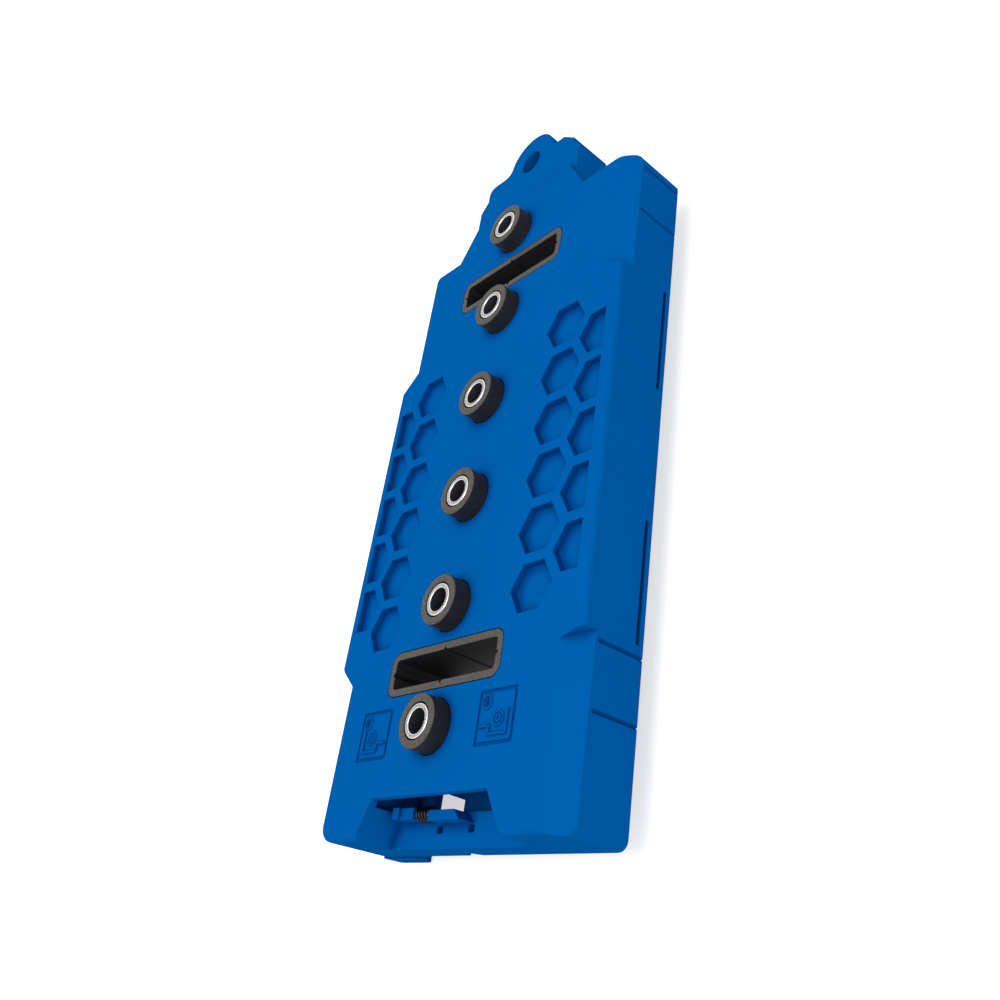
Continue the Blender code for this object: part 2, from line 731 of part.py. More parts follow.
def build_housing():
    """The blue moulding: body, nose, tab and ear, with all its pockets and bores."""
    body = add_object("housing", body_mesh(), BLUE)

    root_y = SHOULDER_Y - EDGE_ROUND - CUT_OVERRUN
    root_half = NOSE_BASE_HALF + (SHOULDER_Y - root_y) * NOSE_SLOPE
    nose = [
        (root_half, root_y),
        (NOSE_TIP_HALF, SHOULDER_Y + NOSE_REACH),
        (-NOSE_TIP_HALF, SHOULDER_Y + NOSE_REACH),
        (-root_half, root_y),
    ]
    nose_high = BODY_DEPTH - NOSE_DROP
    combine(body, prism("nose_plate", [nose], nose_high - NOSE_THICKNESS, nose_high), "UNION")
    tab = prism("joining_tab", [tab_outline()], TAB_FLOOR, BODY_DEPTH - TAB_DROP)
    combine(body, tab, "UNION")
    ear_hole = circle(0.0, EAR_Y, EAR_HOLE_RADIUS)
    combine(body, prism("ear_hole", [ear_hole], 0.0, BODY_DEPTH + CUT_OVERRUN))

    bevels = [
        side_bevel_mesh("low", -BOTTOM_REACH - CUT_OVERRUN, BOTTOM_STEP_Y, BOTTOM_BEVEL_RUN),
        side_bevel_mesh("high", SHOULDER_Y + CUT_OVERRUN, TOP_STEP_Y, -TOP_BEVEL_RUN),
    ]
    combine(body, add_object("side_bevels", joined("side_bevels", bevels)))

    seat = prism("plate_seat", [body_outline(WALL)], -CUT_OVERRUN, PLATE_THICKNESS + FIT_GAP)
    combine(body, seat)
    hollow, low, high = hollow_mesh_parts()
    keep_in_hollow(hollow, low, high)
    combine(body, hollow)

    combine(body, add_object("hexagon_pockets", hexagon_pockets_mesh()))
    bores = []
    for y in guide_rows():
        outline = circle(0.0, y, COLLAR_RADIUS + FIT_GAP)
        bores.append(prism_mesh("bore", [outline], -CUT_OVERRUN, BODY_DEPTH + CUT_OVERRUN))
    combine(body, add_object("guide_bores", joined("guide_bores", bores)))
    windows = []
    for y in SLOT_ROWS:
        outline = slot_outline(y, FIT_GAP)
        windows.append(prism_mesh("window", [outline], -CUT_OVERRUN, BODY_DEPTH + CUT_OVERRUN))
    combine(body, add_object("sight_windows", joined("sight_windows", windows)))
    for mesh in recess_meshes() + [recess_sockets_mesh()]:
        combine(body, add_object(mesh.name, mesh))
    ledge = [
        (LEDGE_LEFT, LEDGE_FRONT_Y),
        (LEDGE_LEFT + LEDGE_WIDTH, LEDGE_FRONT_Y),
        (LEDGE_LEFT + LEDGE_WIDTH - LEDGE_SLANT, STRIP_Y - FIT_GAP),
        (LEDGE_LEFT, STRIP_Y - FIT_GAP),
    ]
    ledge_low = RECESS_FLOOR - CUT_OVERRUN / 2
    combine(body, prism("ledge", [ledge], ledge_low, RECESS_FLOOR + LEDGE_HEIGHT), "UNION")
    small_cuts = (
        panel_cuts_mesh(), mark_cuts_mesh(), sight_notch_mesh(), pilot_holes_mesh(),
        pivot_holes_mesh(), snap_windows_mesh(),
    )
    for mesh in small_cuts:
        combine(body, add_object(mesh.name, mesh))
    return body


def panel_cuts_mesh():
    """The grooves round the two picture panels."""
    cuts = []
    half = PANEL_SIZE / 2
    for x in (PANEL_LEFT_X, PANEL_RIGHT_X):
        radius = PANEL_CORNER_RADIUS
        outer = rectangle(x - half, -half, x + half, half, radius)
        inner_half = half - PANEL_RIM
        inner = rectangle(x - inner_half, -inner_half, x + inner_half, inner_half, radius)
        high = BODY_DEPTH + CUT_OVERRUN
        cuts.append(prism_mesh("panel", [outer, inner], BODY_DEPTH - PANEL_DEPTH, high))
    return joined("panel_cuts", cuts)


def mark_cuts_mesh():
    """Centre marks in the right wall, at the end guides and at the windows."""
    cuts = []
    for y in (0.0, SLOT_ROWS[0], SLOT_ROWS[1], GUIDE_SPAN):
        points = []
        for z in (-CUT_OVERRUN, BODY_DEPTH - SIDE_BEVEL_DROP - EDGE_ROUND / 2):
            points.append((BODY_HALF_WIDTH - MARK_DEPTH, y, z))
            points.append((BODY_HALF_WIDTH + MARK_DEPTH, y - 2 * MARK_HALF_WIDTH, z))
            points.append((BODY_HALF_WIDTH + MARK_DEPTH, y + 2 * MARK_HALF_WIDTH, z))
        cuts.append(hull_mesh("mark", points))
    return joined("mark_cuts", cuts)


def snap_windows_mesh():
    """Slots in the right wall that the base plate's lugs snap into."""
    cuts = []
    for y in SNAP_ROWS:
        low_z = PLATE_THICKNESS - SNAP_WINDOW_HEIGHT / 2
        cuts.append(box_mesh(
            "window",
            (BODY_HALF_WIDTH - WALL * 1.5, y - SNAP_WINDOW_LENGTH / 2, low_z),
            (BODY_HALF_WIDTH + CUT_OVERRUN, y + SNAP_WINDOW_LENGTH / 2, low_z + SNAP_WINDOW_HEIGHT),
        ))
    return joined("snap_windows", cuts)


def recess_sockets_mesh():
    """Small sockets in the recess's floor, in front of the ledge."""
    cuts = []
    socket_back = LEDGE_FRONT_Y - FIT_GAP
    for index in range(SOCKET_COUNT):
        x = SOCKET_PITCH * (index - (SOCKET_COUNT - 1) / 2)
        cuts.append(box_mesh(
            "socket",
            (x - SOCKET_WIDTH / 2, socket_back - SOCKET_LENGTH, RECESS_FLOOR - SOCKET_DEPTH),
            (x + SOCKET_WIDTH / 2, socket_back, RECESS_FLOOR + CUT_OVERRUN / 2),
        ))
    return joined("recess_sockets", cuts)


def sight_notch_mesh():
    """V-shaped notch in the bottom end, on the guides' line."""
    notch = []
    for y in (-BOTTOM_REACH - CUT_OVERRUN, -BOTTOM_REACH + SIGHT_NOTCH_RUN):
        notch.append((-SIGHT_NOTCH_HALF - CUT_OVERRUN, y, -CUT_OVERRUN))
        notch.append((SIGHT_NOTCH_HALF + CUT_OVERRUN, y, -CUT_OVERRUN))
        notch.append((0.0, y, SIGHT_NOTCH_RISE))
    return hull_mesh("sight_notch", notch)


def pilot_holes_mesh():
    """Pilot holes of the cover screws."""
    cuts = []
    for x, y in screw_places():
        depth = PLATE_THICKNESS + SCREW_LENGTH
        outline = circle(x, y, SCREW_SHANK_RADIUS + FIT_GAP, 16)
        cuts.append(prism_mesh("pilot", [outline], PLATE_THICKNESS / 2, depth))
    return joined("pilot_holes", cuts)


def pivot_holes_mesh():
    """The pivot screw's hole, and the socket of the detent's ball and spring."""
    cuts = []
    pivot_depth = PIVOT_THREAD_LENGTH + FIT_GAP
    outline = circle(PIVOT_X, PIVOT_Y, PIVOT_THREAD_RADIUS + FIT_GAP, 20)
    cuts.append(prism_mesh("pivot_hole", [outline], -CUT_OVERRUN, pivot_depth))
    outline = circle(PIVOT_X - DETENT_RADIUS, PIVOT_Y, BALL_RADIUS + FIT_GAP, 20)
    spring_top = BALL_RADIUS * 2 - BALL_STAND + DETENT_SPRING_LENGTH + 2 * FIT_GAP
    cuts.append(prism_mesh("detent_hole", [outline], -CUT_OVERRUN, spring_top))
    return joined("pivot_holes", cuts)


def build_base_plate():
    """The cover that closes the moulding's back, flush with its rim."""
    plate = prism("base_plate", [body_outline(WALL + FIT_GAP)], 0.0, PLATE_THICKNESS, BLUE)
    cuts = []
    low = -CUT_OVERRUN
    high = PLATE_THICKNESS + CUT_OVERRUN
    for y in guide_rows()[1:]:
        outline = circle(0.0, y, COLLAR_RADIUS + FIT_GAP)
        cuts.append(prism_mesh("bore", [outline], low, high))
    combine(plate, add_object("plate_bores", joined("plate_bores", cuts)))
    cuts = []
    for y in SLOT_ROWS:
        cuts.append(prism_mesh("window", [slot_outline(y, FIT_GAP)], low, high))
    combine(plate, add_object("plate_windows", joined("plate_windows", cuts)))
    ear_window = circle(0.0, EAR_OFFSET, EAR_RADIUS + FIT_GAP)
    combine(plate, prism("ear_window", [ear_window], low, high))
    windows = []
    for side in (-1, 1):
        corners = [
            (side * BACK_WINDOW_INNER, RECESS_Y),
            (side * BACK_WINDOW_OUTER, RECESS_Y),
            (side * BACK_WINDOW_OUTER, RECESS_Y + BACK_WINDOW_OUTER_RISE),
            (side * BACK_WINDOW_INNER, RECESS_Y + BACK_WINDOW_INNER_RISE),
        ]
        windows.append(prism_mesh("window", [corners], low, high))
    combine(plate, add_object("back_windows", joined("back_windows", windows)))
    cuts = []
    for x, y in screw_places():
        shank = circle(x, y, SCREW_SHANK_RADIUS + FIT_GAP, 16)
        cuts.append(prism_mesh("shank", [shank], low, high))
    for x, y in ((PIVOT_X, PIVOT_Y), (PIVOT_X - DETENT_RADIUS, PIVOT_Y)):
        outline = circle(x, y, BALL_RADIUS + FIT_GAP, 20)
        cuts.append(prism_mesh("hole", [outline], low, high))
    combine(plate, add_object("plate_holes", joined("plate_holes", cuts)))
    cuts = []
    for x, y in screw_places():
        head = circle(x, y, SCREW_HEAD_RADIUS + FIT_GAP, 20)
        cuts.append(prism_mesh("head", [head], low, SCREW_HEAD_HEIGHT + FIT_GAP))
    for x, y in pad_places().values():
        cuts.append(prism_mesh("seat", [pad_outline(x, y, FIT_GAP)], low, pad_seat_height()))
    combine(plate, add_object("plate_seats", joined("plate_seats", cuts)))
    lugs = []
    for y in SNAP_ROWS:
        half = SNAP_WINDOW_LENGTH / 2 - FIT_GAP
        lug_low = PLATE_THICKNESS - SNAP_WINDOW_HEIGHT / 2 + FIT_GAP
        lugs.append(box_mesh(
            "lug",
            (BODY_HALF_WIDTH - WALL - 2 * FIT_GAP, y - half, lug_low),
            (BODY_HALF_WIDTH - WALL + SNAP_LUG_REACH, y + half, PLATE_THICKNESS),
        ))
    combine(plate, add_object("plate_lugs", joined("plate_lugs", lugs)), "UNION")
    return plate


def pad_outline(x, y, margin=0.0):
    half_width = PAD_WIDTH / 2 + margin
    half_length = PAD_LENGTH / 2 + margin
    return rectangle(
        x - half_width, y - half_length, x + half_width, y + half_length,
        STEP_CORNER_RADIUS + margin,
    )


def pad_seat_height():
    return PAD_THICKNESS - PAD_STAND + FIT_GAP


def build_pads():
    for name, (x, y) in pad_places().items():
        prism(name, [pad_outline(x, y)], -PAD_STAND, PAD_THICKNESS - PAD_STAND, RUBBER)


def guide_foot(index):
    """Height of a guide's lower end. The first one stops under the ear pocket's roof."""
    if index == 0:
        return BODY_DEPTH - POCKET_ROOF
    return FIT_GAP


def build_guides():
    """A charcoal collar and a hardened steel bushing at each guide."""
    front = BODY_DEPTH + COLLAR_STAND
    for index, y in enumerate(guide_rows()):
        foot = guide_foot(index)
        seat = BUSHING_RADIUS + BUSHING_SEAT_GAP
        collar = turned_mesh("guide_collar", [
            (seat, foot),
            (COLLAR_RADIUS, foot),
            (COLLAR_RADIUS, front - COLLAR_EDGE),
            (COLLAR_RADIUS - COLLAR_EDGE, front),
            (seat, front),
        ])
        collar_item = add_object("guide_collar_" + str(index + 1), collar, CHARCOAL)
        collar_item.location = (0.0, y, 0.0)
        bore = BUSHING_BORE_RADIUS
        bushing = turned_mesh("guide_bushing", [
            (bore, foot),
            (BUSHING_RADIUS, foot),
            (BUSHING_RADIUS, front),
            (bore + BUSHING_MOUTH, front),
            (bore, front - BUSHING_MOUTH),
        ])
        bushing_item = add_object("guide_bushing_" + str(index + 1), bushing, STEEL)
        bushing_item.location = (0.0, y, 0.0)


def build_liners():
    for name, y in zip(("slot_liner_lower", "slot_liner_upper"), SLOT_ROWS):
        loops = [slot_outline(y), liner_opening(y)]
        liner = prism(name, loops, FIT_GAP, BODY_DEPTH, CHARCOAL)
        if y < GUIDE_PITCH:
            combine(liner, add_object("ear_relief", ear_pocket_mesh()))


def build_cover_screws():
    """Pan-head screws that hold the base plate, their heads sunk in its seats."""
    for index, (x, y) in enumerate(screw_places()):
        mesh = turned_mesh("cover_screw", [
            (0.0, FIT_GAP),
            (SCREW_HEAD_RADIUS, FIT_GAP),
            (SCREW_HEAD_RADIUS, SCREW_HEAD_HEIGHT),
            (SCREW_SHANK_RADIUS, SCREW_HEAD_HEIGHT),
            (SCREW_SHANK_RADIUS, SCREW_LENGTH),
            (0.0, SCREW_LENGTH + SCREW_SHANK_RADIUS),
        ], 16)
        screw = add_object("cover_screw_" + str(index + 1), mesh, STEEL)
        screw.location = (x, y, 0.0)


def fence_section():
    """Section of the fence bar across its length, from the pivot, with rounded lower edges."""
    right = -FENCE_NEAR_SETBACK - PIVOT_X
    left = right - FENCE_BAR_WIDTH
    return rounded([
        (left, -FENCE_DROP, FENCE_BAR_CORNER),
        (right, -FENCE_DROP, FENCE_BAR_CORNER),
        (right, -FENCE_GAP, 0.0),
        (left, -FENCE_GAP, 0.0),
    ])


def arm_outline():
    """Outline of the arm from inside the bar to the pivot, ending in the round hub."""
    half = FENCE_ARM_WIDTH / 2
    bar_middle = -FENCE_NEAR_SETBACK - PIVOT_X - FENCE_BAR_WIDTH / 2
    start = -math.pi + math.asin(half / FENCE_HUB_RADIUS)
    outline = [(bar_middle, half), (bar_middle, -half)]
    for step in range(ROUND_SIDES + 1):
        angle = start - 2 * start * step / ROUND_SIDES
        outline.append((FENCE_HUB_RADIUS * math.cos(angle), FENCE_HUB_RADIUS * math.sin(angle)))
    return outline


def build_fence():
    """Fence bar, the arm that carries it and the hub that turns on the pivot screw."""
    near = -BOTTOM_REACH - PIVOT_Y
    far = SHOULDER_Y - PIVOT_Y
    bar = prism_mesh("swivel_fence", [fence_section()], -far, -near)
    bar.transform(Matrix.Rotation(math.pi / 2, 4, "X"))
    fence = add_object("swivel_fence", bar, BLUE, FENCE_PIVOT)
    arm_low = -FENCE_GAP - FENCE_ARM_THICKNESS
    arm = prism("fence_arm", [arm_outline()], arm_low, -FENCE_GAP, None, FENCE_PIVOT)
    combine(fence, arm, "UNION")
    hole_loop = circle(0.0, 0.0, PIVOT_SHOULDER_RADIUS + FIT_GAP, 24)
    hole = prism("fence_hole", [hole_loop], -FENCE_DROP, CUT_OVERRUN, None, FENCE_PIVOT)
    combine(fence, hole)
    groove_radius = BALL_RADIUS + FIT_GAP
    groove = bmesh.new()
    ring = bmesh.ops.create_circle(groove, segments=16, radius=groove_radius)["verts"]
    bmesh.ops.rotate(groove, verts=ring, matrix=Matrix.Rotation(math.pi / 2, 3, "X"))
    ball_height = BALL_RADIUS - BALL_STAND
    bmesh.ops.translate(groove, verts=ring, vec=(DETENT_RADIUS, 0.0, ball_height))
    bmesh.ops.spin(
        groove, geom=groove.verts[:] + groove.edges[:], cent=(0.0, 0.0, 0.0),
        axis=(0.0, 0.0, 1.0), angle=2 * math.pi, steps=ROUND_SIDES, use_merge=True,
    )
    bmesh.ops.remove_doubles(groove, verts=groove.verts, dist=MERGE_DISTANCE)
    tool = add_object("detent_groove", finish_mesh("detent_groove", groove), None, FENCE_PIVOT)
    combine(fence, tool)
    return fence


def build_pivot():
    """Shoulder screw and wave washer under the hub, and the spring-loaded detent ball."""
    arm_low = -FENCE_GAP - FENCE_ARM_THICKNESS
    washer_high = arm_low - FIT_GAP
    washer_low = washer_high - WASHER_THICKNESS
    washer_loops = [
        circle(0.0, 0.0, WASHER_RADIUS, 24),
        circle(0.0, 0.0, PIVOT_SHOULDER_RADIUS + FIT_GAP, 24),
    ]
    washer = prism("fence_pivot_washer", washer_loops, washer_low, washer_high, SPRING_STEEL)
    washer.location = (PIVOT_X, PIVOT_Y, 0.0)
    head_high = washer_low - FIT_GAP
    head_low = head_high - PIVOT_HEAD_HEIGHT
    screw_mesh = turned_mesh("fence_pivot_screw", [
        (0.0, head_low),
        (PIVOT_HEAD_RADIUS, head_low),
        (PIVOT_HEAD_RADIUS, head_high),
        (PIVOT_SHOULDER_RADIUS, head_high),
        (PIVOT_SHOULDER_RADIUS, -FIT_GAP),
        (PIVOT_THREAD_RADIUS, -FIT_GAP),
        (PIVOT_THREAD_RADIUS, PIVOT_THREAD_LENGTH),
        (0.0, PIVOT_THREAD_LENGTH),
    ], 24)
    screw = add_object("fence_pivot_screw", screw_mesh, STEEL)
    screw.location = (PIVOT_X, PIVOT_Y, 0.0)
    ball_shape = bmesh.new()
    bmesh.ops.create_uvsphere(ball_shape, u_segments=16, v_segments=10, radius=BALL_RADIUS)
    ball = add_object("fence_detent_ball", finish_mesh("fence_detent_ball", ball_shape), STEEL)
    ball.location = (PIVOT_X - DETENT_RADIUS, PIVOT_Y, BALL_RADIUS - BALL_STAND)
    spring_mesh = helix_mesh(
        "fence_detent_spring", DETENT_SPRING_RADIUS, DETENT_SPRING_WIRE,
        DETENT_SPRING_LENGTH, DETENT_SPRING_TURNS,
    )
    spring = add_object("fence_detent_spring", spring_mesh, SPRING_STEEL)
    spring_low = 2 * BALL_RADIUS - BALL_STAND + FIT_GAP
    spring.location = (PIVOT_X - DETENT_RADIUS, PIVOT_Y, spring_low)


def build_catch():
    """Sliding catch with its finger post, and the spring that holds it out."""
    floor = RECESS_FLOOR + FIT_GAP
    front = CATCH_BACK_Y - CATCH_DEPTH
    foot_low = (CATCH_LEFT, front, floor)
    foot_high = (CATCH_LEFT + CATCH_FOOT_LENGTH, CATCH_BACK_Y, RECESS_FLOOR + CATCH_FOOT_HEIGHT)
    catch = add_object("link_catch", box_mesh("link_catch", foot_low, foot_high), BLUE)
    post_low = (CATCH_LEFT, front, floor)
    post_high = (
        CATCH_LEFT + CATCH_POST_WIDTH, CATCH_BACK_Y, RECESS_FLOOR + CATCH_POST_HEIGHT,
    )
    combine(catch, add_object("catch_post", box_mesh("catch_post", post_low, post_high)), "UNION")
    spring_start = CATCH_LEFT + CATCH_FOOT_LENGTH + FIT_GAP
    length = LEDGE_LEFT - FIT_GAP - spring_start
    spring_mesh = helix_mesh(
        "link_catch_spring", CATCH_SPRING_RADIUS, CATCH_SPRING_WIRE, length, CATCH_SPRING_TURNS,
    )
    spring = add_object("link_catch_spring", spring_mesh, SPRING_STEEL)
    spring.rotation_euler = (0.0, math.pi / 2, 0.0)
    height = RECESS_FLOOR + CATCH_SPRING_RADIUS + CATCH_SPRING_WIRE + FIT_GAP
    spring.location = (spring_start, CATCH_BACK_Y - CATCH_DEPTH / 2, height)


build_housing()
build_base_plate()
build_pads()
build_guides()
build_liners()
build_cover_screws()
build_fence()
build_pivot()
build_catch()
bpy.context.view_layer.update()
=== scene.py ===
"""Looks of a shelf pin drilling jig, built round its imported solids.

The frame is the solids' own: metres, X across the jig, Y along it towards the joining ear,
and Z out of its front face, with the lowest face at Z = 0.
"""
import logging
import math
from collections.abc import Callable
from dataclasses import dataclass
from enum import Enum
from typing import Any

import bpy
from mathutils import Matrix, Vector


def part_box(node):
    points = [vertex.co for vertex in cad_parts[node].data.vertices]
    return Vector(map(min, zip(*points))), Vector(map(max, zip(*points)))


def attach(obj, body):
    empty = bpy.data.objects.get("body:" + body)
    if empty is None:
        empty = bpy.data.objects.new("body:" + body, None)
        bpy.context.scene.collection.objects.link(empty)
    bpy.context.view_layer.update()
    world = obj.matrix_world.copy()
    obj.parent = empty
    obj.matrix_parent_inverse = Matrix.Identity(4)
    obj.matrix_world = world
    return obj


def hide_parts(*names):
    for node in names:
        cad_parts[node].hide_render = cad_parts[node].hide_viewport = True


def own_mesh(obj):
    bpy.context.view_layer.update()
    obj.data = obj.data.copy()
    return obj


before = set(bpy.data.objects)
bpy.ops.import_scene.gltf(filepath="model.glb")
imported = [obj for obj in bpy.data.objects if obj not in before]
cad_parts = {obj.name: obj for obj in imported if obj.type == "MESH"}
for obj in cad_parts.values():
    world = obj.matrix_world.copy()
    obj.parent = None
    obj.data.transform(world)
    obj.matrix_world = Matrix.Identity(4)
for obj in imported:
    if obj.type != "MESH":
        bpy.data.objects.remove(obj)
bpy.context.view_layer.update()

LOG = logging.getLogger("shelf_pin_jig")
MM = 0.001
GUIDE_COUNT = 6
SCREW_COUNT = 6
SIGN_LEFT_X = -24.9 * MM
SIGN_RIGHT_X = 24.0 * MM

# How near a height or a wall an edge lies to count as on it.
EDGE_TOLERANCE = 0.02 * MM
# The size of a direction's Z: past the first it faces an end, below the others it is level
# or belongs to an upright wall.
FACING = 0.9
LEVEL = 0.1
UPRIGHT = 0.3
SMOOTH_BELOW = math.radians(35)

# A coil's fineness, and the turn that lays it along X from upright.
WIRE_SIDES = 10
STEPS_PER_TURN = 28
LAID_ALONG_X = (0.0, math.pi / 2, 0.0)

# A Mix node's colour sockets go by number: its two inputs and its output.
COLOUR_A, COLOUR_B, MIXED = 6, 7, 2
# Most of a noise lies between these.
NOISE_LOW, NOISE_HIGH = 0.3, 0.7
WHITE = (1.0, 1.0, 1.0, 1.0)


class Pick(Enum):
    """What an edit-mode selection is made of."""

    EDGES = "edges"
    FACES = "faces"


Test = Callable[[Vector, Vector], bool]


def linear(code: str) -> tuple[float, float, float, float]:
    """Turn an sRGB hex colour into the linear colour that a shader reads.

    Args:
        code: Six hex digits, with or without a leading #.

    Returns:
        Linear red, green, blue and an alpha of 1.
    """
    digits = code.lstrip("#")
    shares = [int(digits[place:place + 2], 16) / 255 for place in (0, 2, 4)]
    values = [s / 12.92 if s <= 0.04045 else ((s + 0.055) / 1.055) ** 2.4 for s in shares]
    return values[0], values[1], values[2], 1.0


def per_metre(size_mm: float) -> float:
    """Give the texture scale, in patterns per metre, for a pattern of a real size."""
    return 1000.0 / size_mm


def add_node(tree: bpy.types.NodeTree, kind: str, inputs: dict[Any, Any],
             **settings: Any) -> bpy.types.Node:
    """Add a shader node, set it up and link it.

    Args:
        tree: The node tree that takes the node.
        kind: The node's type name.
        inputs: A value or another node's output for each input, by name or number.
        **settings: Properties of the node itself.

    Returns:
        The new node.
    """
    node = tree.nodes.new(kind)
    for name, value in settings.items():
        setattr(node, name, value)
    for name, value in inputs.items():
        socket = node.inputs[name]
        if isinstance(value, bpy.types.NodeSocket):
            tree.links.new(value, socket)
        else:
            socket.default_value = value
    return node


def new_tree(name: str) -> tuple[bpy.types.Material, bpy.types.NodeTree, Any]:
    """Start a material with an empty tree and the Object coordinates.

    Args:
        name: The material's name.

    Returns:
        The material, its node tree and the coordinates' output.
    """
    material = bpy.data.materials.new(name)
    material.use_nodes = True
    tree = material.node_tree
    tree.nodes.clear()
    coordinates = add_node(tree, "ShaderNodeTexCoord", {})
    return material, tree, coordinates.outputs["Object"]


def close_tree(tree: bpy.types.NodeTree, inputs: dict[Any, Any]) -> None:
    """Add the surface shader with its inputs, and the material's output.

    Args:
        tree: The material's node tree.
        inputs: The shader's inputs, as add_node takes them.
    """
    shader = add_node(tree, "ShaderNodeBsdfPrincipled", inputs)
    add_node(tree, "ShaderNodeOutputMaterial", {"Surface": shader.outputs["BSDF"]})


@dataclass(frozen=True)
class MouldedPlastic:
    """ABS from a spark-eroded mould: an even, saturated colour with a matt grain, edges rounded
    in the shading and lightened by a painted highlight, and a painted shade that darkens its
    inner corners and crevices."""

    name: str = "blue_injection_moulded_abs"
    colour: str = "#0061B0"
    deep_colour: str = "#005CA8"
    drift_mm: float = 45.0
    # A real spark-eroded grain is near 0.1 mm. It is drawn coarser, so that it shows.
    grain_mm: float = 0.45
    grain_height_mm: float = 0.02
    # A painted highlight lightens edges towards this colour, up to the share given below.
    edge_highlight_colour: str = "#0F6CBC"
    edge_mm: float = 0.45
    # The cosine between the rounded and the flat normal where an edge's painted highlight
    # starts and is full.
    edge_lean: tuple[float, float] = (0.995, 0.86)
    edge_share: float = 0.45
    # A painted shade darkens inner corners and crevices towards this colour, within the reach
    # and up to the share given below.
    crevice_shade_colour: str = "#004790"
    crevice_shade_mm: float = 3.2
    # How open to the sky a place is where the painted shade starts and is full.
    crevice_openness: tuple[float, float] = (0.97, 0.72)
    crevice_shade_share: float = 0.8
    roughness: float = 0.52
    roughness_swing: float = 0.06
    # Matt all over: the photograph shows no gloss on it.
    specular: float = 0.0

    def material(self) -> bpy.types.Material:
        """Build the finish as a node material.

        Returns:
            The material.
        """
        material, tree, place = new_tree(self.name)
        drift = add_node(tree, "ShaderNodeTexNoise", {
            "Vector": place, "Scale": per_metre(self.drift_mm), "Detail": 2.0,
        })
        body = add_node(tree, "ShaderNodeMix", {
            "Factor": drift.outputs["Fac"], COLOUR_A: linear(self.deep_colour),
            COLOUR_B: linear(self.colour),
        }, data_type="RGBA")
        rounded = add_node(tree, "ShaderNodeBevel", {"Radius": self.edge_mm * MM}, samples=4)
        flat = add_node(tree, "ShaderNodeNewGeometry", {})
        lean = add_node(tree, "ShaderNodeVectorMath", {
            0: rounded.outputs["Normal"], 1: flat.outputs["True Normal"],
        }, operation="DOT_PRODUCT")
        edge = add_node(tree, "ShaderNodeMapRange", {
            "Value": lean.outputs["Value"], "From Min": self.edge_lean[0],
            "From Max": self.edge_lean[1], "To Min": 0.0, "To Max": self.edge_share,
        })
        # Painted highlight: the colour is lightened along edges, by how far the rounded normal
        # leans from the flat one.
        with_edge_highlight = add_node(tree, "ShaderNodeMix", {
            "Factor": edge.outputs["Result"], COLOUR_A: body.outputs[MIXED],
            COLOUR_B: linear(self.edge_highlight_colour),
        }, data_type="RGBA")
        # Painted shade: the colour is darkened where a place is closed in, as in inner corners
        # and crevices.
        openness = add_node(tree, "ShaderNodeAmbientOcclusion", {
            "Distance": self.crevice_shade_mm * MM,
        }, samples=8)
        crevice = add_node(tree, "ShaderNodeMapRange", {
            "Value": openness.outputs["AO"], "From Min": self.crevice_openness[0],
            "From Max": self.crevice_openness[1], "To Min": 0.0, "To Max": self.crevice_shade_share,
        })
        colour = add_node(tree, "ShaderNodeMix", {
            "Factor": crevice.outputs["Result"], COLOUR_A: with_edge_highlight.outputs[MIXED],
            COLOUR_B: linear(self.crevice_shade_colour),
        }, data_type="RGBA")
        grain = add_node(tree, "ShaderNodeTexNoise", {
            "Vector": place, "Scale": per_metre(self.grain_mm), "Detail": 3.0,
        })
        sheen = add_node(tree, "ShaderNodeMapRange", {
            "Value": grain.outputs["Fac"], "From Min": NOISE_LOW, "From Max": NOISE_HIGH,
            "To Min": self.roughness - self.roughness_swing,
            "To Max": self.roughness + self.roughness_swing,
        })
        bump = add_node(tree, "ShaderNodeBump", {
            "Height": grain.outputs["Fac"], "Strength": 0.5,
            "Distance": self.grain_height_mm * MM, "Normal": rounded.outputs["Normal"],
        })
        close_tree(tree, {
            "Base Color": colour.outputs[MIXED], "Roughness": sheen.outputs["Result"],
            "Specular IOR Level": self.specular, "Normal": bump.outputs["Normal"],
        })
        return material


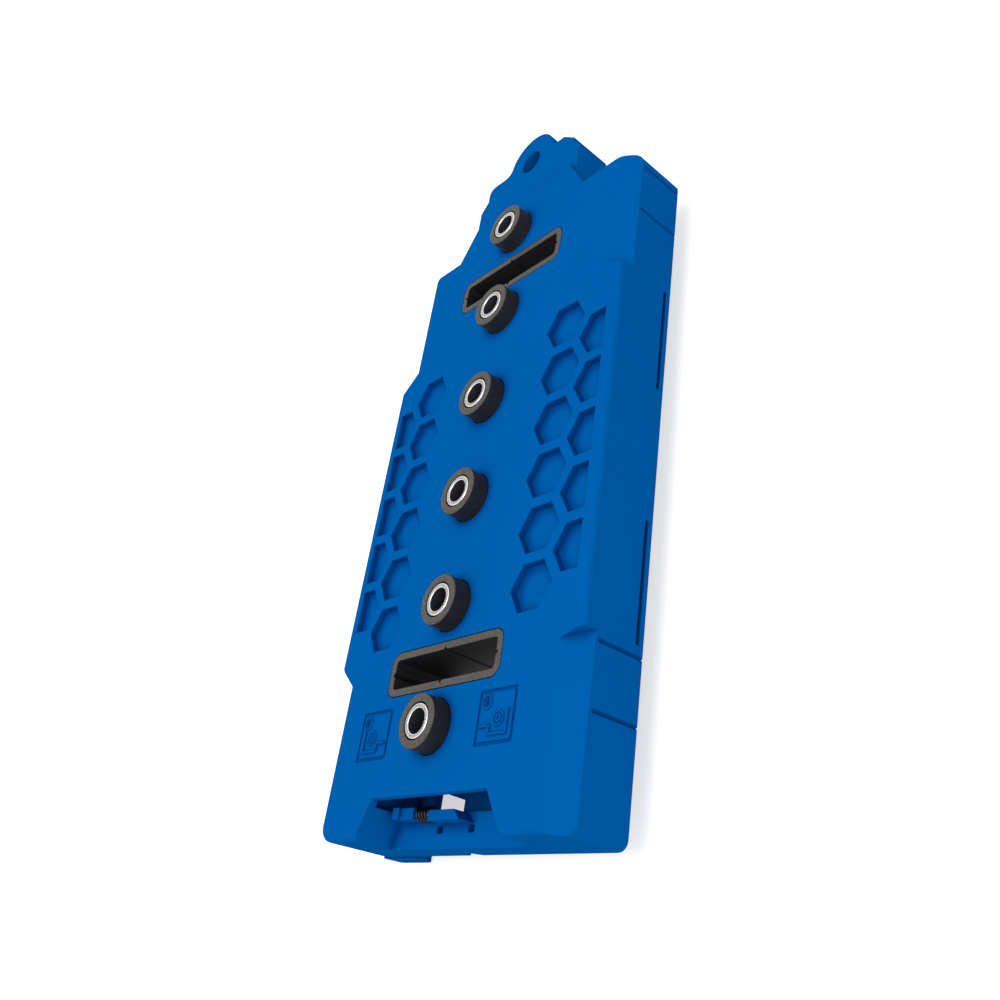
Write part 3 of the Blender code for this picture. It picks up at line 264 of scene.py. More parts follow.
@dataclass(frozen=True)
class RimmedPlastic:
    """Charcoal moulded plastic whose front rim is a speckled warm grey, and whose walls are
    almost black."""

    name: str
    rim_height: float
    rim_colour: str = "#5E5A55"
    rim_speck: str = "#44403C"
    wall_colour: str = "#1B1B21"
    wall_speck: str = "#101014"
    speck_mm: float = 0.55
    speck_height_mm: float = 0.05
    # Where in the noise a speck starts and is full, close together, so that specks are sharp.
    speck_range: tuple[float, float] = (0.38, 0.62)
    rim_depth_mm: float = 0.25
    roughness: float = 0.6
    specular: float = 0.3

    def material(self) -> bpy.types.Material:
        """Build the finish as a node material.

        Returns:
            The material.
        """
        material, tree, place = new_tree(self.name)
        parts = add_node(tree, "ShaderNodeSeparateXYZ", {"Vector": place})
        start = self.rim_height - self.rim_depth_mm * MM
        rim = add_node(tree, "ShaderNodeMapRange", {
            "Value": parts.outputs["Z"], "From Min": start,
            "From Max": self.rim_height - EDGE_TOLERANCE, "To Min": 0.0, "To Max": 1.0,
        })
        speck = add_node(tree, "ShaderNodeTexNoise", {
            "Vector": place, "Scale": per_metre(self.speck_mm), "Detail": 4.0,
        })
        sharp = add_node(tree, "ShaderNodeMapRange", {
            "Value": speck.outputs["Fac"], "From Min": self.speck_range[0],
            "From Max": self.speck_range[1], "To Min": 0.0, "To Max": 1.0,
        })
        front = add_node(tree, "ShaderNodeMix", {
            "Factor": sharp.outputs["Result"], COLOUR_A: linear(self.rim_speck),
            COLOUR_B: linear(self.rim_colour),
        }, data_type="RGBA")
        wall = add_node(tree, "ShaderNodeMix", {
            "Factor": sharp.outputs["Result"], COLOUR_A: linear(self.wall_speck),
            COLOUR_B: linear(self.wall_colour),
        }, data_type="RGBA")
        colour = add_node(tree, "ShaderNodeMix", {
            "Factor": rim.outputs["Result"], COLOUR_A: wall.outputs[MIXED],
            COLOUR_B: front.outputs[MIXED],
        }, data_type="RGBA")
        bump = add_node(tree, "ShaderNodeBump", {
            "Height": speck.outputs["Fac"], "Strength": 0.6,
            "Distance": self.speck_height_mm * MM,
        })
        close_tree(tree, {
            "Base Color": colour.outputs[MIXED], "Roughness": self.roughness,
            "Specular IOR Level": self.specular, "Normal": bump.outputs["Normal"],
        })
        return material


@dataclass(frozen=True)
class Steel:
    """Steel as ground, plated or drawn: a metal whose fine marks soften what it mirrors."""

    name: str
    colour: str
    dull_colour: str
    roughness: float
    # Real marks of grinding and drawing are under 0.05 mm. They are drawn coarser, to show.
    mark_mm: float = 0.35
    mark_height_mm: float = 0.01
    # The finest and the dullest mark, as shares of the roughness.
    roughness_spread: tuple[float, float] = (0.8, 1.25)

    def material(self) -> bpy.types.Material:
        """Build the finish as a node material.

        Returns:
            The material.
        """
        material, tree, place = new_tree(self.name)
        marks = add_node(tree, "ShaderNodeTexNoise", {
            "Vector": place, "Scale": per_metre(self.mark_mm), "Detail": 4.0,
        })
        colour = add_node(tree, "ShaderNodeMix", {
            "Factor": marks.outputs["Fac"], COLOUR_A: linear(self.dull_colour),
            COLOUR_B: linear(self.colour),
        }, data_type="RGBA")
        rough = add_node(tree, "ShaderNodeMapRange", {
            "Value": marks.outputs["Fac"], "From Min": NOISE_LOW, "From Max": NOISE_HIGH,
            "To Min": self.roughness * self.roughness_spread[0],
            "To Max": self.roughness * self.roughness_spread[1],
        })
        bump = add_node(tree, "ShaderNodeBump", {
            "Height": marks.outputs["Fac"], "Strength": 0.3,
            "Distance": self.mark_height_mm * MM,
        })
        close_tree(tree, {
            "Base Color": colour.outputs[MIXED], "Metallic": 1.0,
            "Roughness": rough.outputs["Result"], "Normal": bump.outputs["Normal"],
        })
        return material


@dataclass(frozen=True)
class Rubber:
    """Moulded nitrile rubber: near black, dull, and slightly dusty on its ribs."""

    name: str = "moulded_nitrile_rubber"
    colour: str = "#1B1B1C"
    dust_colour: str = "#2A2A2B"
    dust_mm: float = 3.0
    # The mould's real grain is near 0.1 mm. It is drawn coarser, so that it shows.
    grain_mm: float = 0.4
    grain_height_mm: float = 0.04
    roughness: float = 0.85
    specular: float = 0.3

    def material(self) -> bpy.types.Material:
        """Build the finish as a node material.

        Returns:
            The material.
        """
        material, tree, place = new_tree(self.name)
        dust = add_node(tree, "ShaderNodeTexNoise", {
            "Vector": place, "Scale": per_metre(self.dust_mm), "Detail": 5.0,
        })
        colour = add_node(tree, "ShaderNodeMix", {
            "Factor": dust.outputs["Fac"], COLOUR_A: linear(self.colour),
            COLOUR_B: linear(self.dust_colour),
        }, data_type="RGBA")
        grain = add_node(tree, "ShaderNodeTexNoise", {
            "Vector": place, "Scale": per_metre(self.grain_mm), "Detail": 2.0,
        })
        bump = add_node(tree, "ShaderNodeBump", {
            "Height": grain.outputs["Fac"], "Strength": 0.5,
            "Distance": self.grain_height_mm * MM,
        })
        close_tree(tree, {
            "Base Color": colour.outputs[MIXED], "Roughness": self.roughness,
            "Specular IOR Level": self.specular, "Normal": bump.outputs["Normal"],
        })
        return material


def deselect_all() -> None:
    """Leave edit mode and deselect every object."""
    if bpy.context.mode != "OBJECT":
        bpy.ops.object.mode_set(mode="OBJECT")
    bpy.ops.object.select_all(action="DESELECT")


def settle(name: str) -> bpy.types.Object:
    """Name the object just added and move its place, turn and size into its mesh.

    Args:
        name: The object's name, and its mesh's.

    Returns:
        The object.
    """
    item = bpy.context.view_layer.objects.active
    item.name = name
    item.data.name = name
    bpy.ops.object.transform_apply(location=True, rotation=True, scale=True)
    return item


def pick(item: bpy.types.Object, kind: Pick, test: Test) -> None:
    """Select faces or edges of a mesh by where they are, and stay in edit mode.

    Args:
        item: The mesh object, which is active.
        kind: Faces, or edges.
        test: Takes a face's centre and normal, or an edge's middle and direction.
    """
    bpy.ops.object.mode_set(mode="EDIT")
    bpy.ops.mesh.select_all(action="DESELECT")
    bpy.ops.object.mode_set(mode="OBJECT")
    mesh = item.data
    bpy.context.tool_settings.mesh_select_mode = (False, kind is Pick.EDGES, kind is Pick.FACES)
    if kind is Pick.FACES:
        for face in mesh.polygons:
            face.select = test(face.center, face.normal)
    else:
        for edge in mesh.edges:
            first, last = (mesh.vertices[number].co for number in edge.vertices)
            edge.select = test((first + last) / 2, (last - first).normalized())
    bpy.ops.object.mode_set(mode="EDIT")


def add_block(name: str, low: Vector, high: Vector) -> bpy.types.Object:
    """Add a block between two corners, ready to be shaped.

    Args:
        name: The block's name.
        low: Its lowest corner.
        high: Its highest corner.

    Returns:
        The block.
    """
    deselect_all()
    bpy.ops.mesh.primitive_cube_add(size=1.0, location=(low + high) / 2, scale=high - low)
    return settle(name)


def add_drum(name: str, foot: Vector, radius: float, height: float,
             sides: int) -> bpy.types.Object:
    """Add an upright drum, ready to be shaped.

    Args:
        name: The drum's name.
        foot: The middle of its lower end.
        radius: Its radius.
        height: Its height.
        sides: How many sides stand for its round.

    Returns:
        The drum.
    """
    deselect_all()
    middle = foot + Vector((0.0, 0.0, height / 2))
    bpy.ops.mesh.primitive_cylinder_add(
        vertices=sides, radius=radius, depth=height, location=middle,
    )
    return settle(name)


def bore_through(item: bpy.types.Object, wall: float) -> None:
    """Turn a drum into a tube: inset both ends and bridge them.

    Args:
        item: The drum.
        wall: The tube's wall.
    """
    pick(item, Pick.FACES, lambda centre, normal: abs(normal.z) > FACING)
    bpy.ops.mesh.inset(thickness=wall)
    bpy.ops.mesh.bridge_edge_loops()


def at_height(level: float) -> Test:
    """Give the test that an edge's middle passes at a height."""
    return lambda place, along: abs(place.z - level) < EDGE_TOLERANCE


def faces_up(centre: Vector, normal: Vector) -> bool:
    """Say whether a face looks up."""
    return normal.z > FACING


def soften(item: bpy.types.Object, width: float, segments: int, test: Test) -> None:
    """Bevel the edges that pass a test."""
    pick(item, Pick.EDGES, test)
    bpy.ops.mesh.bevel(offset=width, segments=segments, affect="EDGES")


def carve(item: bpy.types.Object, cutter: bpy.types.Object) -> None:
    """Cut one mesh out of another, and delete the cutter.

    Args:
        item: The mesh that is cut.
        cutter: The mesh that is taken out of it.
    """
    deselect_all()
    item.select_set(True)
    bpy.context.view_layer.objects.active = item
    boolean = item.modifiers.new("cut", "BOOLEAN")
    boolean.solver = "EXACT"
    boolean.object = cutter
    bpy.ops.object.modifier_apply(modifier=boolean.name)
    bpy.data.objects.remove(cutter, do_unlink=True)


def join_pieces(name: str, items: list[bpy.types.Object]) -> bpy.types.Object:
    """Join meshes into one piece.

    Args:
        name: The piece's name.
        items: The meshes, of which the first takes in the others.

    Returns:
        The piece.
    """
    deselect_all()
    for item in items:
        item.select_set(True)
    bpy.context.view_layer.objects.active = items[0]
    bpy.ops.object.join()
    items[0].name = name
    items[0].data.name = name
    return items[0]


def own_copy(item: bpy.types.Object, name: str, step: Vector) -> bpy.types.Object:
    """Copy a piece with its own mesh, and set the copy a step away.

    Args:
        item: The piece to copy.
        name: The copy's name.
        step: How far the copy stands from the piece.

    Returns:
        The copy.
    """
    deselect_all()
    copy = bpy.data.objects.new(name, item.data.copy())
    bpy.context.scene.collection.objects.link(copy)
    copy.location = step
    copy.select_set(True)
    bpy.context.view_layer.objects.active = copy
    return settle(name)


def finish_piece(item: bpy.types.Object, materials: list[bpy.types.Material], body: str,
                 slot: str, *replaced: str) -> None:
    """Shade a new piece, paint it and tie it to the frame.

    Args:
        item: The piece.
        materials: Its materials, in the order of its faces' numbers.
        body: The body that it rides on.
        slot: The record's material slot. It is not used.
        *replaced: The solids that it stands for.
    """
    deselect_all()
    item.select_set(True)
    bpy.context.view_layer.objects.active = item
    bpy.ops.object.mode_set(mode="EDIT")
    bpy.ops.mesh.select_all(action="SELECT")
    bpy.ops.mesh.normals_make_consistent(inside=False)
    bpy.ops.object.mode_set(mode="OBJECT")
    bpy.ops.object.shade_smooth_by_angle(angle=SMOOTH_BELOW)
    numbers = [face.material_index for face in item.data.polygons]
    item.data.materials.clear()
    for material in materials:
        item.data.materials.append(material)
    item.data.polygons.foreach_set("material_index", numbers)
    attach(item, body)
    if replaced:
        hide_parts(*replaced)
    LOG.info("built %s with %d faces", item.name, len(item.data.polygons))


def dress_node(name: str, material: bpy.types.Material) -> None:
    """Give a solid that is shown as it is its finish.

    Args:
        name: The solid's node.
        material: Its finish.
    """
    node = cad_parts[name]
    node.data.materials.clear()
    node.data.materials.append(material)
    LOG.info("dressed %s in %s", name, material.name)


def add_coil(name: str, start: Vector, radius: float, wire: float, length: float,
             turns: int) -> bpy.types.Object:
    """Wind a compression spring that lies along X, from a wire's section.

    Args:
        name: The piece's name.
        start: The middle of its first end.
        radius: From its axis to the middle of the wire.
        wire: The wire's radius.
        length: Its whole length.
        turns: How many turns it has.

    Returns:
        The spring, with its wire's ends closed.
    """
    deselect_all()
    bpy.ops.mesh.primitive_circle_add(
        vertices=WIRE_SIDES, radius=wire, location=(radius, 0.0, wire),
        rotation=(math.pi / 2, 0.0, 0.0),
    )
    item = settle(name)
    winding = item.modifiers.new("winding", "SCREW")
    winding.axis = "Z"
    winding.steps = STEPS_PER_TURN
    winding.render_steps = STEPS_PER_TURN
    winding.iterations = turns
    winding.screw_offset = (length - 2 * wire) / turns
    bpy.ops.object.modifier_apply(modifier=winding.name)
    bpy.ops.object.mode_set(mode="EDIT")
    bpy.ops.mesh.select_all(action="SELECT")
    bpy.ops.mesh.fill_holes(sides=0)
    bpy.ops.object.mode_set(mode="OBJECT")
    item.rotation_euler = LAID_ALONG_X
    item.location = start
    return settle(name)


@dataclass
class DrillGuide:
    """A guide: a charcoal collar that stands on the front face, round a steel bushing."""

    number: int
    bore_radius: float = 3.25 * MM
    # The collar's bore stands this far off the bushing.
    seat_gap: float = 0.4 * MM
    collar_edge: float = 0.35 * MM
    bushing_edge: float = 0.25 * MM
    edge_steps: int = 3
    sides: int = 72
    # How near the collar's outside an edge, or the bushing's bore a face, counts as on it.
    outside_band: float = 0.3 * MM
    bore_band: float = 0.05 * MM

    def build_collar(self, finish: bpy.types.Material) -> None:
        """Model the collar as a tube with a softened rim.

        Args:
            finish: The collar's plastic.
        """
        node = f"guide_collar_{self.number}"
        low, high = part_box(node)
        middle = (low + high) / 2
        radius = (high.x - low.x) / 2
        _, ring_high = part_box(f"guide_bushing_{self.number}")
        seat = ring_high.x - middle.x + self.seat_gap
        foot = Vector((middle.x, middle.y, low.z))
        collar = add_drum(f"collar_{self.number}", foot, radius, high.z - low.z, self.sides)
        bore_through(collar, radius - seat)
        on_top = at_height(high.z)
        soften(collar, self.collar_edge, self.edge_steps,
               lambda place, along: on_top(place, along) and abs(along.z) < LEVEL
               and self._reach(place, middle) > radius - self.outside_band)
        finish_piece(collar, [finish], "body", "charcoal_moulding", node)

    def build_bushing(self, ground: bpy.types.Material, bore: bpy.types.Material) -> None:
        """Model the bushing as a tube with softened rims, its bore in a darker copy of its
        steel as painted shade.

        Args:
            ground: The steel of its outside and its end.
            bore: The darker steel of its bore, which paints the bore's shade.
        """
        node = f"guide_bushing_{self.number}"
        low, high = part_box(node)
        middle = (low + high) / 2
        radius = (high.x - low.x) / 2
        foot = Vector((middle.x, middle.y, low.z))
        ring = add_drum(f"bushing_{self.number}", foot, radius, high.z - low.z, self.sides)
        bore_through(ring, radius - self.bore_radius)
        on_top = at_height(high.z)
        soften(ring, self.bushing_edge, self.edge_steps,
               lambda place, along: on_top(place, along) and abs(along.z) < LEVEL)
        bpy.ops.object.mode_set(mode="OBJECT")
        # The bore's faces take the darker steel: painted shade inside the bore.
        for face in ring.data.polygons:
            inside = self._reach(face.center, middle) < self.bore_radius + self.bore_band
            face.material_index = int(inside and abs(face.normal.z) < UPRIGHT)
        finish_piece(ring, [ground, bore], "body", "hardened_steel", node)

    @staticmethod
    def _reach(place: Vector, middle: Vector) -> float:
        """Give how far a point lies from the guide's axis."""
        return math.hypot(place.x - middle.x, place.y - middle.y)


@dataclass
class SignPanel:
    """The raised lines of a square panel by the first guide: a number in a ring, and a plain
    diagram. Places on the panel, counted from its middle, and the bars' sizes are in
    millimetres, and the other sizes in metres."""

    name: str
    number: str
    middle_x: float
    middle_y: float
    front: float
    line_mm: float = 0.7
    height: float = 0.5 * MM
    sink: float = 0.1 * MM
    edge_share: float = 0.45
    edge_steps: int = 2
    ring_place: tuple[float, float] = (-3.7, 3.7)
    ring_radius: float = 1.6 * MM
    text_size: float = 2.6 * MM
    # Each bar's middle across and along, then its width and its length.
    bars: tuple[tuple[float, float, float, float], ...] = (
        (4.2, -1.5, line_mm, 5.6),
        (1.2, -4.2, 6.6, line_mm),
        (-1.8, -3.2, line_mm, 2.6),
        (-3.4, -2.2, 3.8, line_mm),
    )
    hole_place: tuple[float, float] = (1.0, -0.6)
    hole_radii: tuple[float, float] = (1.7 * MM, 0.8 * MM)

    def _bar(self, x: float, y: float, width: float, length: float) -> bpy.types.Object:
        """Add one raised line of the diagram, with softened top edges.

        Args:
            x: Its middle across the panel.
            y: Its middle along the panel.
            width: Its size across.
            length: Its size along.

        Returns:
            The line.
        """
        middle = Vector((self.middle_x + x * MM, self.middle_y + y * MM, self.front))
        low = middle - Vector((width * MM / 2, length * MM / 2, self.sink))
        high = middle + Vector((width * MM / 2, length * MM / 2, self.height))
        bar = add_block(self.name + "_bar", low, high)
        soften(bar, self.height * self.edge_share, self.edge_steps, at_height(high.z))
        bpy.ops.object.mode_set(mode="OBJECT")
        return bar

    def _ring(self, x: float, y: float, radius: float) -> bpy.types.Object:
        """Add one raised ring of the diagram.

        Args:
            x: Its middle across the panel.
            y: Its middle along the panel.
            radius: Its radius, in metres.

        Returns:
            The ring.
        """
        deselect_all()
        place = (self.middle_x + x * MM, self.middle_y + y * MM, self.front)
        bpy.ops.mesh.primitive_torus_add(
            major_radius=radius, minor_radius=self.line_mm * MM / 2, major_segments=36,
            minor_segments=8, location=place,
        )
        return settle(self.name + "_ring")

    def _digit(self, x: float, y: float) -> bpy.types.Object:
        """Add the raised digit that stands in the ring.

        Args:
            x: Its middle across the panel.
            y: Its middle along the panel.

        Returns:
            The digit.
        """
        deselect_all()
        bpy.ops.object.text_add(location=(
            self.middle_x + x * MM, self.middle_y + y * MM, self.front,
        ))
        text = bpy.context.view_layer.objects.active
        text.data.body = self.number
        text.data.size = self.text_size
        text.data.align_x = "CENTER"
        text.data.align_y = "CENTER"
        text.data.extrude = self.height
        bpy.ops.object.convert(target="MESH")
        return settle(self.name + "_digit")

    def build(self, side: int, finish: bpy.types.Material) -> None:
        """Model the sign and tie it to the body.

        Args:
            side: 1 where the panel's edge line is on the right, -1 where it is on the left.
            finish: The moulding's finish.
        """
        hole_x, hole_y = self.hole_place
        items = [
            self._ring(*self.ring_place, self.ring_radius),
            self._digit(*self.ring_place),
            *(self._bar(side * x, y, width, length) for x, y, width, length in self.bars),
            *(self._ring(side * hole_x, hole_y, radius) for radius in self.hole_radii),
        ]
        sign = join_pieces(self.name, items)
        finish_piece(sign, [finish], "body", "blue_moulding")


@dataclass
class BackFastening:
    """The cover's screws, with cross recesses, and its ribbed grip pads."""

    head_height: float = 1.1 * MM
    head_edge: float = 0.45 * MM
    edge_steps: int = 3
    sides: int = 40
    shank_radius: float = 1.4 * MM
    point_length: float = 1.4 * MM
    point_inset: float = 1.0 * MM
    recess_reach: float = 1.7 * MM
    recess_width: float = 0.75 * MM
    recess_depth: float = 0.9 * MM
    # Ribs and the grooves between them, counted together.
    rib_rows: int = 23
    rib_height: float = 0.4 * MM

    def build_screws(self, finish: bpy.types.Material) -> None:
        """Model one screw and copy it to the other places.

        Args:
            finish: The screws' steel.
        """
        low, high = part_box("cover_screw_1")
        middle = (low + high) / 2
        foot = Vector((middle.x, middle.y, low.z))
        radius = (high.x - low.x) / 2
        shank = high.z - low.z - self.head_height - self.point_length
        screw = add_drum("screw_1", foot, radius, self.head_height, self.sides)
        soften(screw, self.head_edge, self.edge_steps, at_height(low.z))
        pick(screw, Pick.FACES, faces_up)
        bpy.ops.mesh.inset(thickness=radius - self.shank_radius)
        bpy.ops.mesh.extrude_region_move(
            TRANSFORM_OT_translate={"value": (0.0, 0.0, shank)},
        )
        bpy.ops.mesh.inset(thickness=self.point_inset)
        bpy.ops.transform.translate(value=(0.0, 0.0, self.point_length))
        bpy.ops.object.mode_set(mode="OBJECT")
        for long_x in (True, False):
            wide = self.recess_reach if long_x else self.recess_width / 2
            tall = self.recess_width / 2 if long_x else self.recess_reach
            cutter = add_block(
                "recess",
                foot + Vector((-wide, -tall, -self.recess_depth)),
                foot + Vector((wide, tall, self.recess_depth)),
            )
            carve(screw, cutter)
        for number in range(2, SCREW_COUNT + 1):
            other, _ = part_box(f"cover_screw_{number}")
            copy = own_copy(screw, f"screw_{number}", other - low)
            finish_piece(copy, [finish], "body", "hardened_steel", f"cover_screw_{number}")
        finish_piece(screw, [finish], "body", "hardened_steel", "cover_screw_1")

    def build_pads(self, finish: bpy.types.Material) -> None:
        """Model a ribbed pad at each pad's place.

        Args:
            finish: The pads' rubber.
        """
        for node in sorted(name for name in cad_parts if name.startswith("grip_pad")):
            low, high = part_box(node)
            middle = (low + high) / 2
            groove = low.z + self.rib_height
            deselect_all()
            bpy.ops.mesh.primitive_grid_add(
                x_subdivisions=1, y_subdivisions=self.rib_rows, size=1.0,
                location=(middle.x, middle.y, groove), rotation=(math.pi, 0.0, 0.0),
            )
            bpy.ops.transform.resize(value=(high.x - low.x, high.y - low.y, 1.0))
            pad = settle(node.replace("grip", "ribbed"))
            row = (high.y - low.y) / self.rib_rows
            pick(pad, Pick.FACES, lambda centre, normal: int((centre.y - low.y) / row) % 2 == 0)
            bpy.ops.mesh.extrude_region_move(
                TRANSFORM_OT_translate={"value": (0.0, 0.0, -self.rib_height)},
            )
            bpy.ops.mesh.select_mode(type="EDGE")
            bpy.ops.mesh.select_all(action="DESELECT")
            bpy.ops.mesh.select_non_manifold()
            bpy.ops.mesh.extrude_edges_move(
                TRANSFORM_OT_translate={"value": (0.0, 0.0, high.z - groove)},
            )
            bpy.ops.mesh.edge_face_add()
            bpy.ops.object.mode_set(mode="OBJECT")
            finish_piece(pad, [finish], "body", "grip_rubber", node)


@dataclass
class FencePivot:
    """The shoulder screw that the fence turns on, with a hexagon socket in its head."""

    head_height: float = 1.4 * MM
    head_edge: float = 0.4 * MM
    edge_steps: int = 3
    sides: int = 56
    shoulder_radius: float = 3.0 * MM
    # The shoulder stops this far below the base plate.
    plate_gap: float = 0.3 * MM
    thread_inset: float = 1.0 * MM
    socket_sides: int = 6
    socket_radius: float = 2.0 * MM
    socket_depth: float = 1.1 * MM

    def build(self, finish: bpy.types.Material) -> None:
        """Model the screw from its head up to its thread.

        Args:
            finish: The screw's steel.
        """
        low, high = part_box("fence_pivot_screw")
        middle = (low + high) / 2
        foot = Vector((middle.x, middle.y, low.z))
        radius = (high.x - low.x) / 2
        plate_low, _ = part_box("base_plate")
        shoulder_end = plate_low.z - self.plate_gap
        shoulder = shoulder_end - low.z - self.head_height
        screw = add_drum("fence_screw", foot, radius, self.head_height, self.sides)
        soften(screw, self.head_edge, self.edge_steps, at_height(low.z))
        pick(screw, Pick.FACES, faces_up)
        bpy.ops.mesh.inset(thickness=radius - self.shoulder_radius)
        bpy.ops.mesh.extrude_region_move(
            TRANSFORM_OT_translate={"value": (0.0, 0.0, shoulder)},
        )
        bpy.ops.mesh.inset(thickness=self.thread_inset)
        bpy.ops.mesh.extrude_region_move(
            TRANSFORM_OT_translate={"value": (0.0, 0.0, high.z - shoulder_end)},
        )
        bpy.ops.object.mode_set(mode="OBJECT")
        socket = add_drum(
            "socket", foot - Vector((0.0, 0.0, self.socket_depth)), self.socket_radius,
            2 * self.socket_depth, self.socket_sides,
        )
        carve(screw, socket)
        finish_piece(screw, [finish], "body", "hardened_steel", "fence_pivot_screw")


@dataclass
class CatchSpring:
    """The small coil that pushes the link catch back."""

    radius: float = 1.8 * MM
    wire: float = 0.28 * MM
    turns: int = 5
    travel: float = 3.0 * MM

    def build(self, finish: bpy.types.Material) -> None:
        """Wind the coil in its solid's place.

        Args:
            finish: The coil's wire.
        """
        low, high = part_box("link_catch_spring")
        middle = (low + high) / 2
        start = Vector((low.x, middle.y, middle.z))
        length = high.x - low.x
        coil = add_coil("catch_coil", start, self.radius, self.wire, length, self.turns)
        finish_piece(coil, [finish], "body", "spring_steel", "link_catch_spring")
        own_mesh(coil)


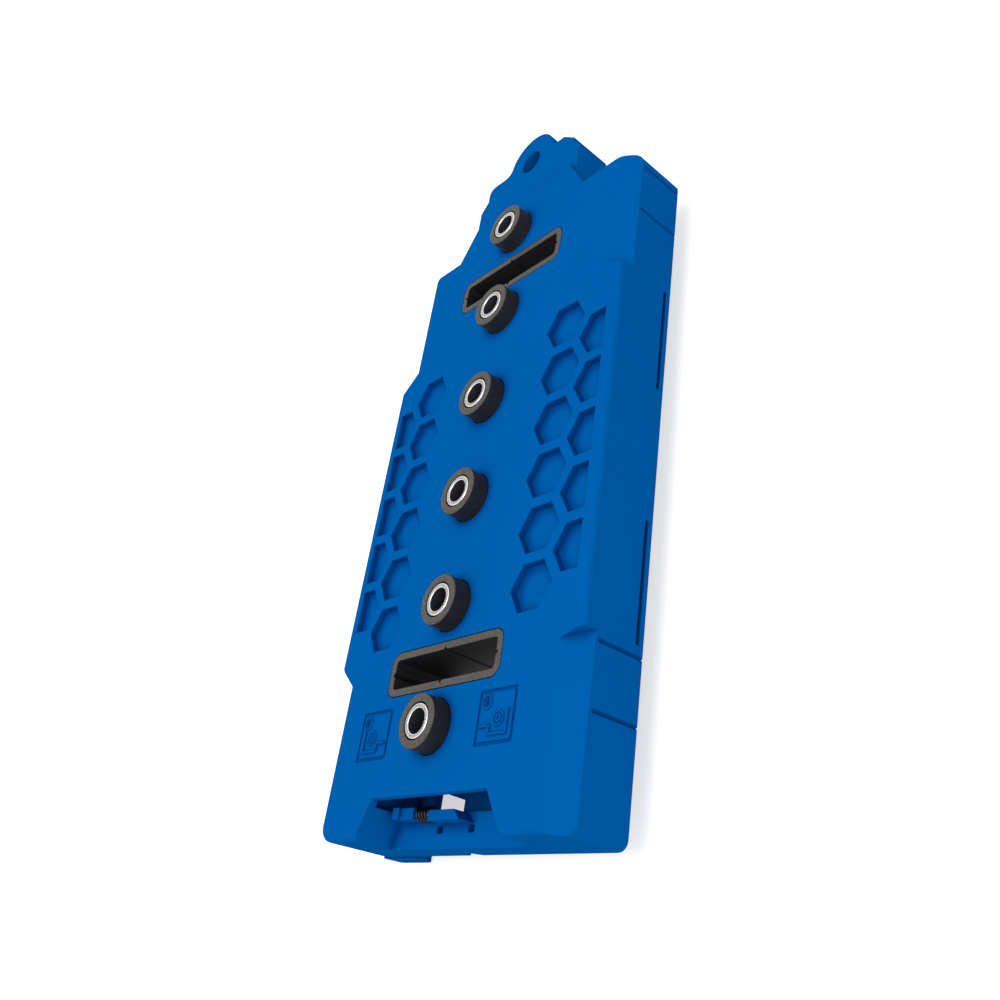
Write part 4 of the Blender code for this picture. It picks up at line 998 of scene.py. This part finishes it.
@dataclass
class Studio:
    """White sweep, soft lamps and the photograph's camera.

    A level is a share of full brightness: the world's is what it gives by itself, and a lamp's
    what it adds to a face that looks at it.
    """

    # The camera's turn is in degrees, and its lens and sensor are in millimetres.
    camera_place: tuple[float, float, float] = (0.20045, -0.14873, 0.17211)
    camera_turn: tuple[float, float, float] = (35.9872, 47.8066, 11.7600)
    camera_lens: float = 36.13
    camera_sensor: float = 36.0
    camera_near: float = 0.01
    floor_size: float = 40.0
    floor_colour: str = "#D8D8D8"
    floor_glow: float = 0.6
    world_level: float = 0.62
    key_place: tuple[float, float, float] = (0.25, -0.2, 1.5)
    key_size: float = 1.1
    key_level: float = 0.42
    fill_place: tuple[float, float, float] = (1.2, -1.0, 0.7)
    fill_size: float = 1.0
    fill_level: float = 0.12

    def build_floor(self) -> None:
        """Lay a pale floor that shows white to the camera and keeps the jig's shadow."""
        deselect_all()
        bpy.ops.mesh.primitive_plane_add(size=self.floor_size)
        floor = settle("floor")
        material = bpy.data.materials.new("white_paper_sweep")
        material.use_nodes = True
        tree = material.node_tree
        tree.nodes.clear()
        paper = add_node(tree, "ShaderNodeBsdfDiffuse", {"Color": linear(self.floor_colour)})
        path = add_node(tree, "ShaderNodeLightPath", {})
        seen = add_node(tree, "ShaderNodeMath", {
            0: path.outputs["Is Camera Ray"], 1: path.outputs["Is Glossy Ray"],
        }, operation="MAXIMUM")
        share = add_node(tree, "ShaderNodeMath", {
            0: seen.outputs[0], 1: self.floor_glow,
        }, operation="MULTIPLY")
        light = add_node(tree, "ShaderNodeEmission", {"Strength": share.outputs[0]})
        both = add_node(tree, "ShaderNodeAddShader", {
            0: paper.outputs[0], 1: light.outputs[0],
        })
        add_node(tree, "ShaderNodeOutputMaterial", {"Surface": both.outputs[0]})
        floor.data.materials.append(material)

    def build_world(self) -> None:
        """Light the jig evenly, and show white to the camera and to mirror rays."""
        world = bpy.data.worlds.new("white_room")
        bpy.context.scene.world = world
        world.use_nodes = True
        tree = world.node_tree
        tree.nodes.clear()
        path = add_node(tree, "ShaderNodeLightPath", {})
        direct = add_node(tree, "ShaderNodeMath", {
            0: path.outputs["Is Camera Ray"], 1: path.outputs["Is Glossy Ray"],
        }, operation="MAXIMUM")
        seen = add_node(tree, "ShaderNodeMath", {
            0: direct.outputs[0], 1: path.outputs["Is Transmission Ray"],
        }, operation="MAXIMUM")
        level = add_node(tree, "ShaderNodeMapRange", {
            "Value": seen.outputs[0], "To Min": self.world_level, "To Max": 1.0,
        })
        background = add_node(tree, "ShaderNodeBackground", {
            "Color": WHITE, "Strength": level.outputs["Result"],
        })
        add_node(tree, "ShaderNodeOutputWorld", {"Surface": background.outputs[0]})

    @staticmethod
    def _lamp(name: str, place: Vector, size: float, level: float) -> None:
        """Hang a soft lamp that looks at the frame's origin.

        Args:
            name: The lamp's name.
            place: Where it hangs.
            size: The width of its disk.
            level: The share of full brightness that it adds.
        """
        deselect_all()
        bpy.ops.object.light_add(type="AREA", location=place)
        lamp = bpy.context.view_layer.objects.active
        lamp.name = name
        lamp.data.shape = "DISK"
        lamp.data.size = size
        lamp.data.energy = level * math.pi ** 2 * place.length_squared
        lamp.rotation_euler = (-place).to_track_quat("-Z", "Y").to_euler()

    def build(self) -> None:
        """Set out the whole studio."""
        self.build_floor()
        self.build_world()
        self._lamp("key_lamp", Vector(self.key_place), self.key_size, self.key_level)
        self._lamp("fill_lamp", Vector(self.fill_place), self.fill_size, self.fill_level)
        bpy.ops.object.camera_add(
            location=self.camera_place,
            rotation=[math.radians(angle) for angle in self.camera_turn],
        )
        camera = bpy.context.view_layer.objects.active
        camera.name = "photo_camera"
        camera.data.sensor_width = self.camera_sensor
        camera.data.lens = self.camera_lens
        camera.data.clip_start = self.camera_near
        bpy.context.scene.camera = camera


def build_panels(blue: bpy.types.Material) -> None:
    """Model the two sign panels beside the first guide.

    Args:
        blue: The moulding's finish.
    """
    _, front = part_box("slot_liner_lower")
    low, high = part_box("guide_collar_1")
    row = (low.y + high.y) / 2
    SignPanel("sign_left", "1", SIGN_LEFT_X, row, front.z).build(-1, blue)
    SignPanel("sign_right", "2", SIGN_RIGHT_X, row, front.z).build(1, blue)


def main() -> None:
    """Build and dress the jig, then set out the studio."""
    logging.basicConfig(level=logging.INFO, format="%(name)s: %(message)s")
    bpy.context.scene.view_settings.view_transform = "Standard"
    _, liner_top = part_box("slot_liner_lower")
    _, collar_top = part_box("guide_collar_1")
    blue = MouldedPlastic().material()
    liner_black = RimmedPlastic("charcoal_liner_plastic", liner_top.z).material()
    collar_black = RimmedPlastic("charcoal_collar_plastic", collar_top.z).material()
    ground = Steel("ground_tool_steel", "#FFFFFF", "#E4E4E6", 0.2).material()
    # A darker, duller steel for the bushings' bores: painted shade inside them.
    bore = Steel("bore_steel_painted_shade", "#4C4E55", "#35373C", 0.6).material()
    plated = Steel("zinc_plated_steel", "#C9CBD0", "#A9ABB2", 0.3).material()
    wire = Steel("oiled_music_wire", "#3E3E42", "#242428", 0.35).material()
    rubber = Rubber().material()
    for name in ("housing", "base_plate", "swivel_fence", "link_catch"):
        dress_node(name, blue)
    for name in ("slot_liner_lower", "slot_liner_upper"):
        dress_node(name, liner_black)
    dress_node("fence_pivot_washer", wire)
    dress_node("fence_detent_ball", plated)
    dress_node("fence_detent_spring", wire)
    for number in range(1, GUIDE_COUNT + 1):
        guide = DrillGuide(number)
        guide.build_collar(collar_black)
        guide.build_bushing(ground, bore)
    build_panels(blue)
    fastening = BackFastening()
    fastening.build_screws(plated)
    fastening.build_pads(rubber)
    FencePivot().build(plated)
    CatchSpring().build(wire)
    Studio().build()
    deselect_all()


if __name__ == "__main__":
    main()
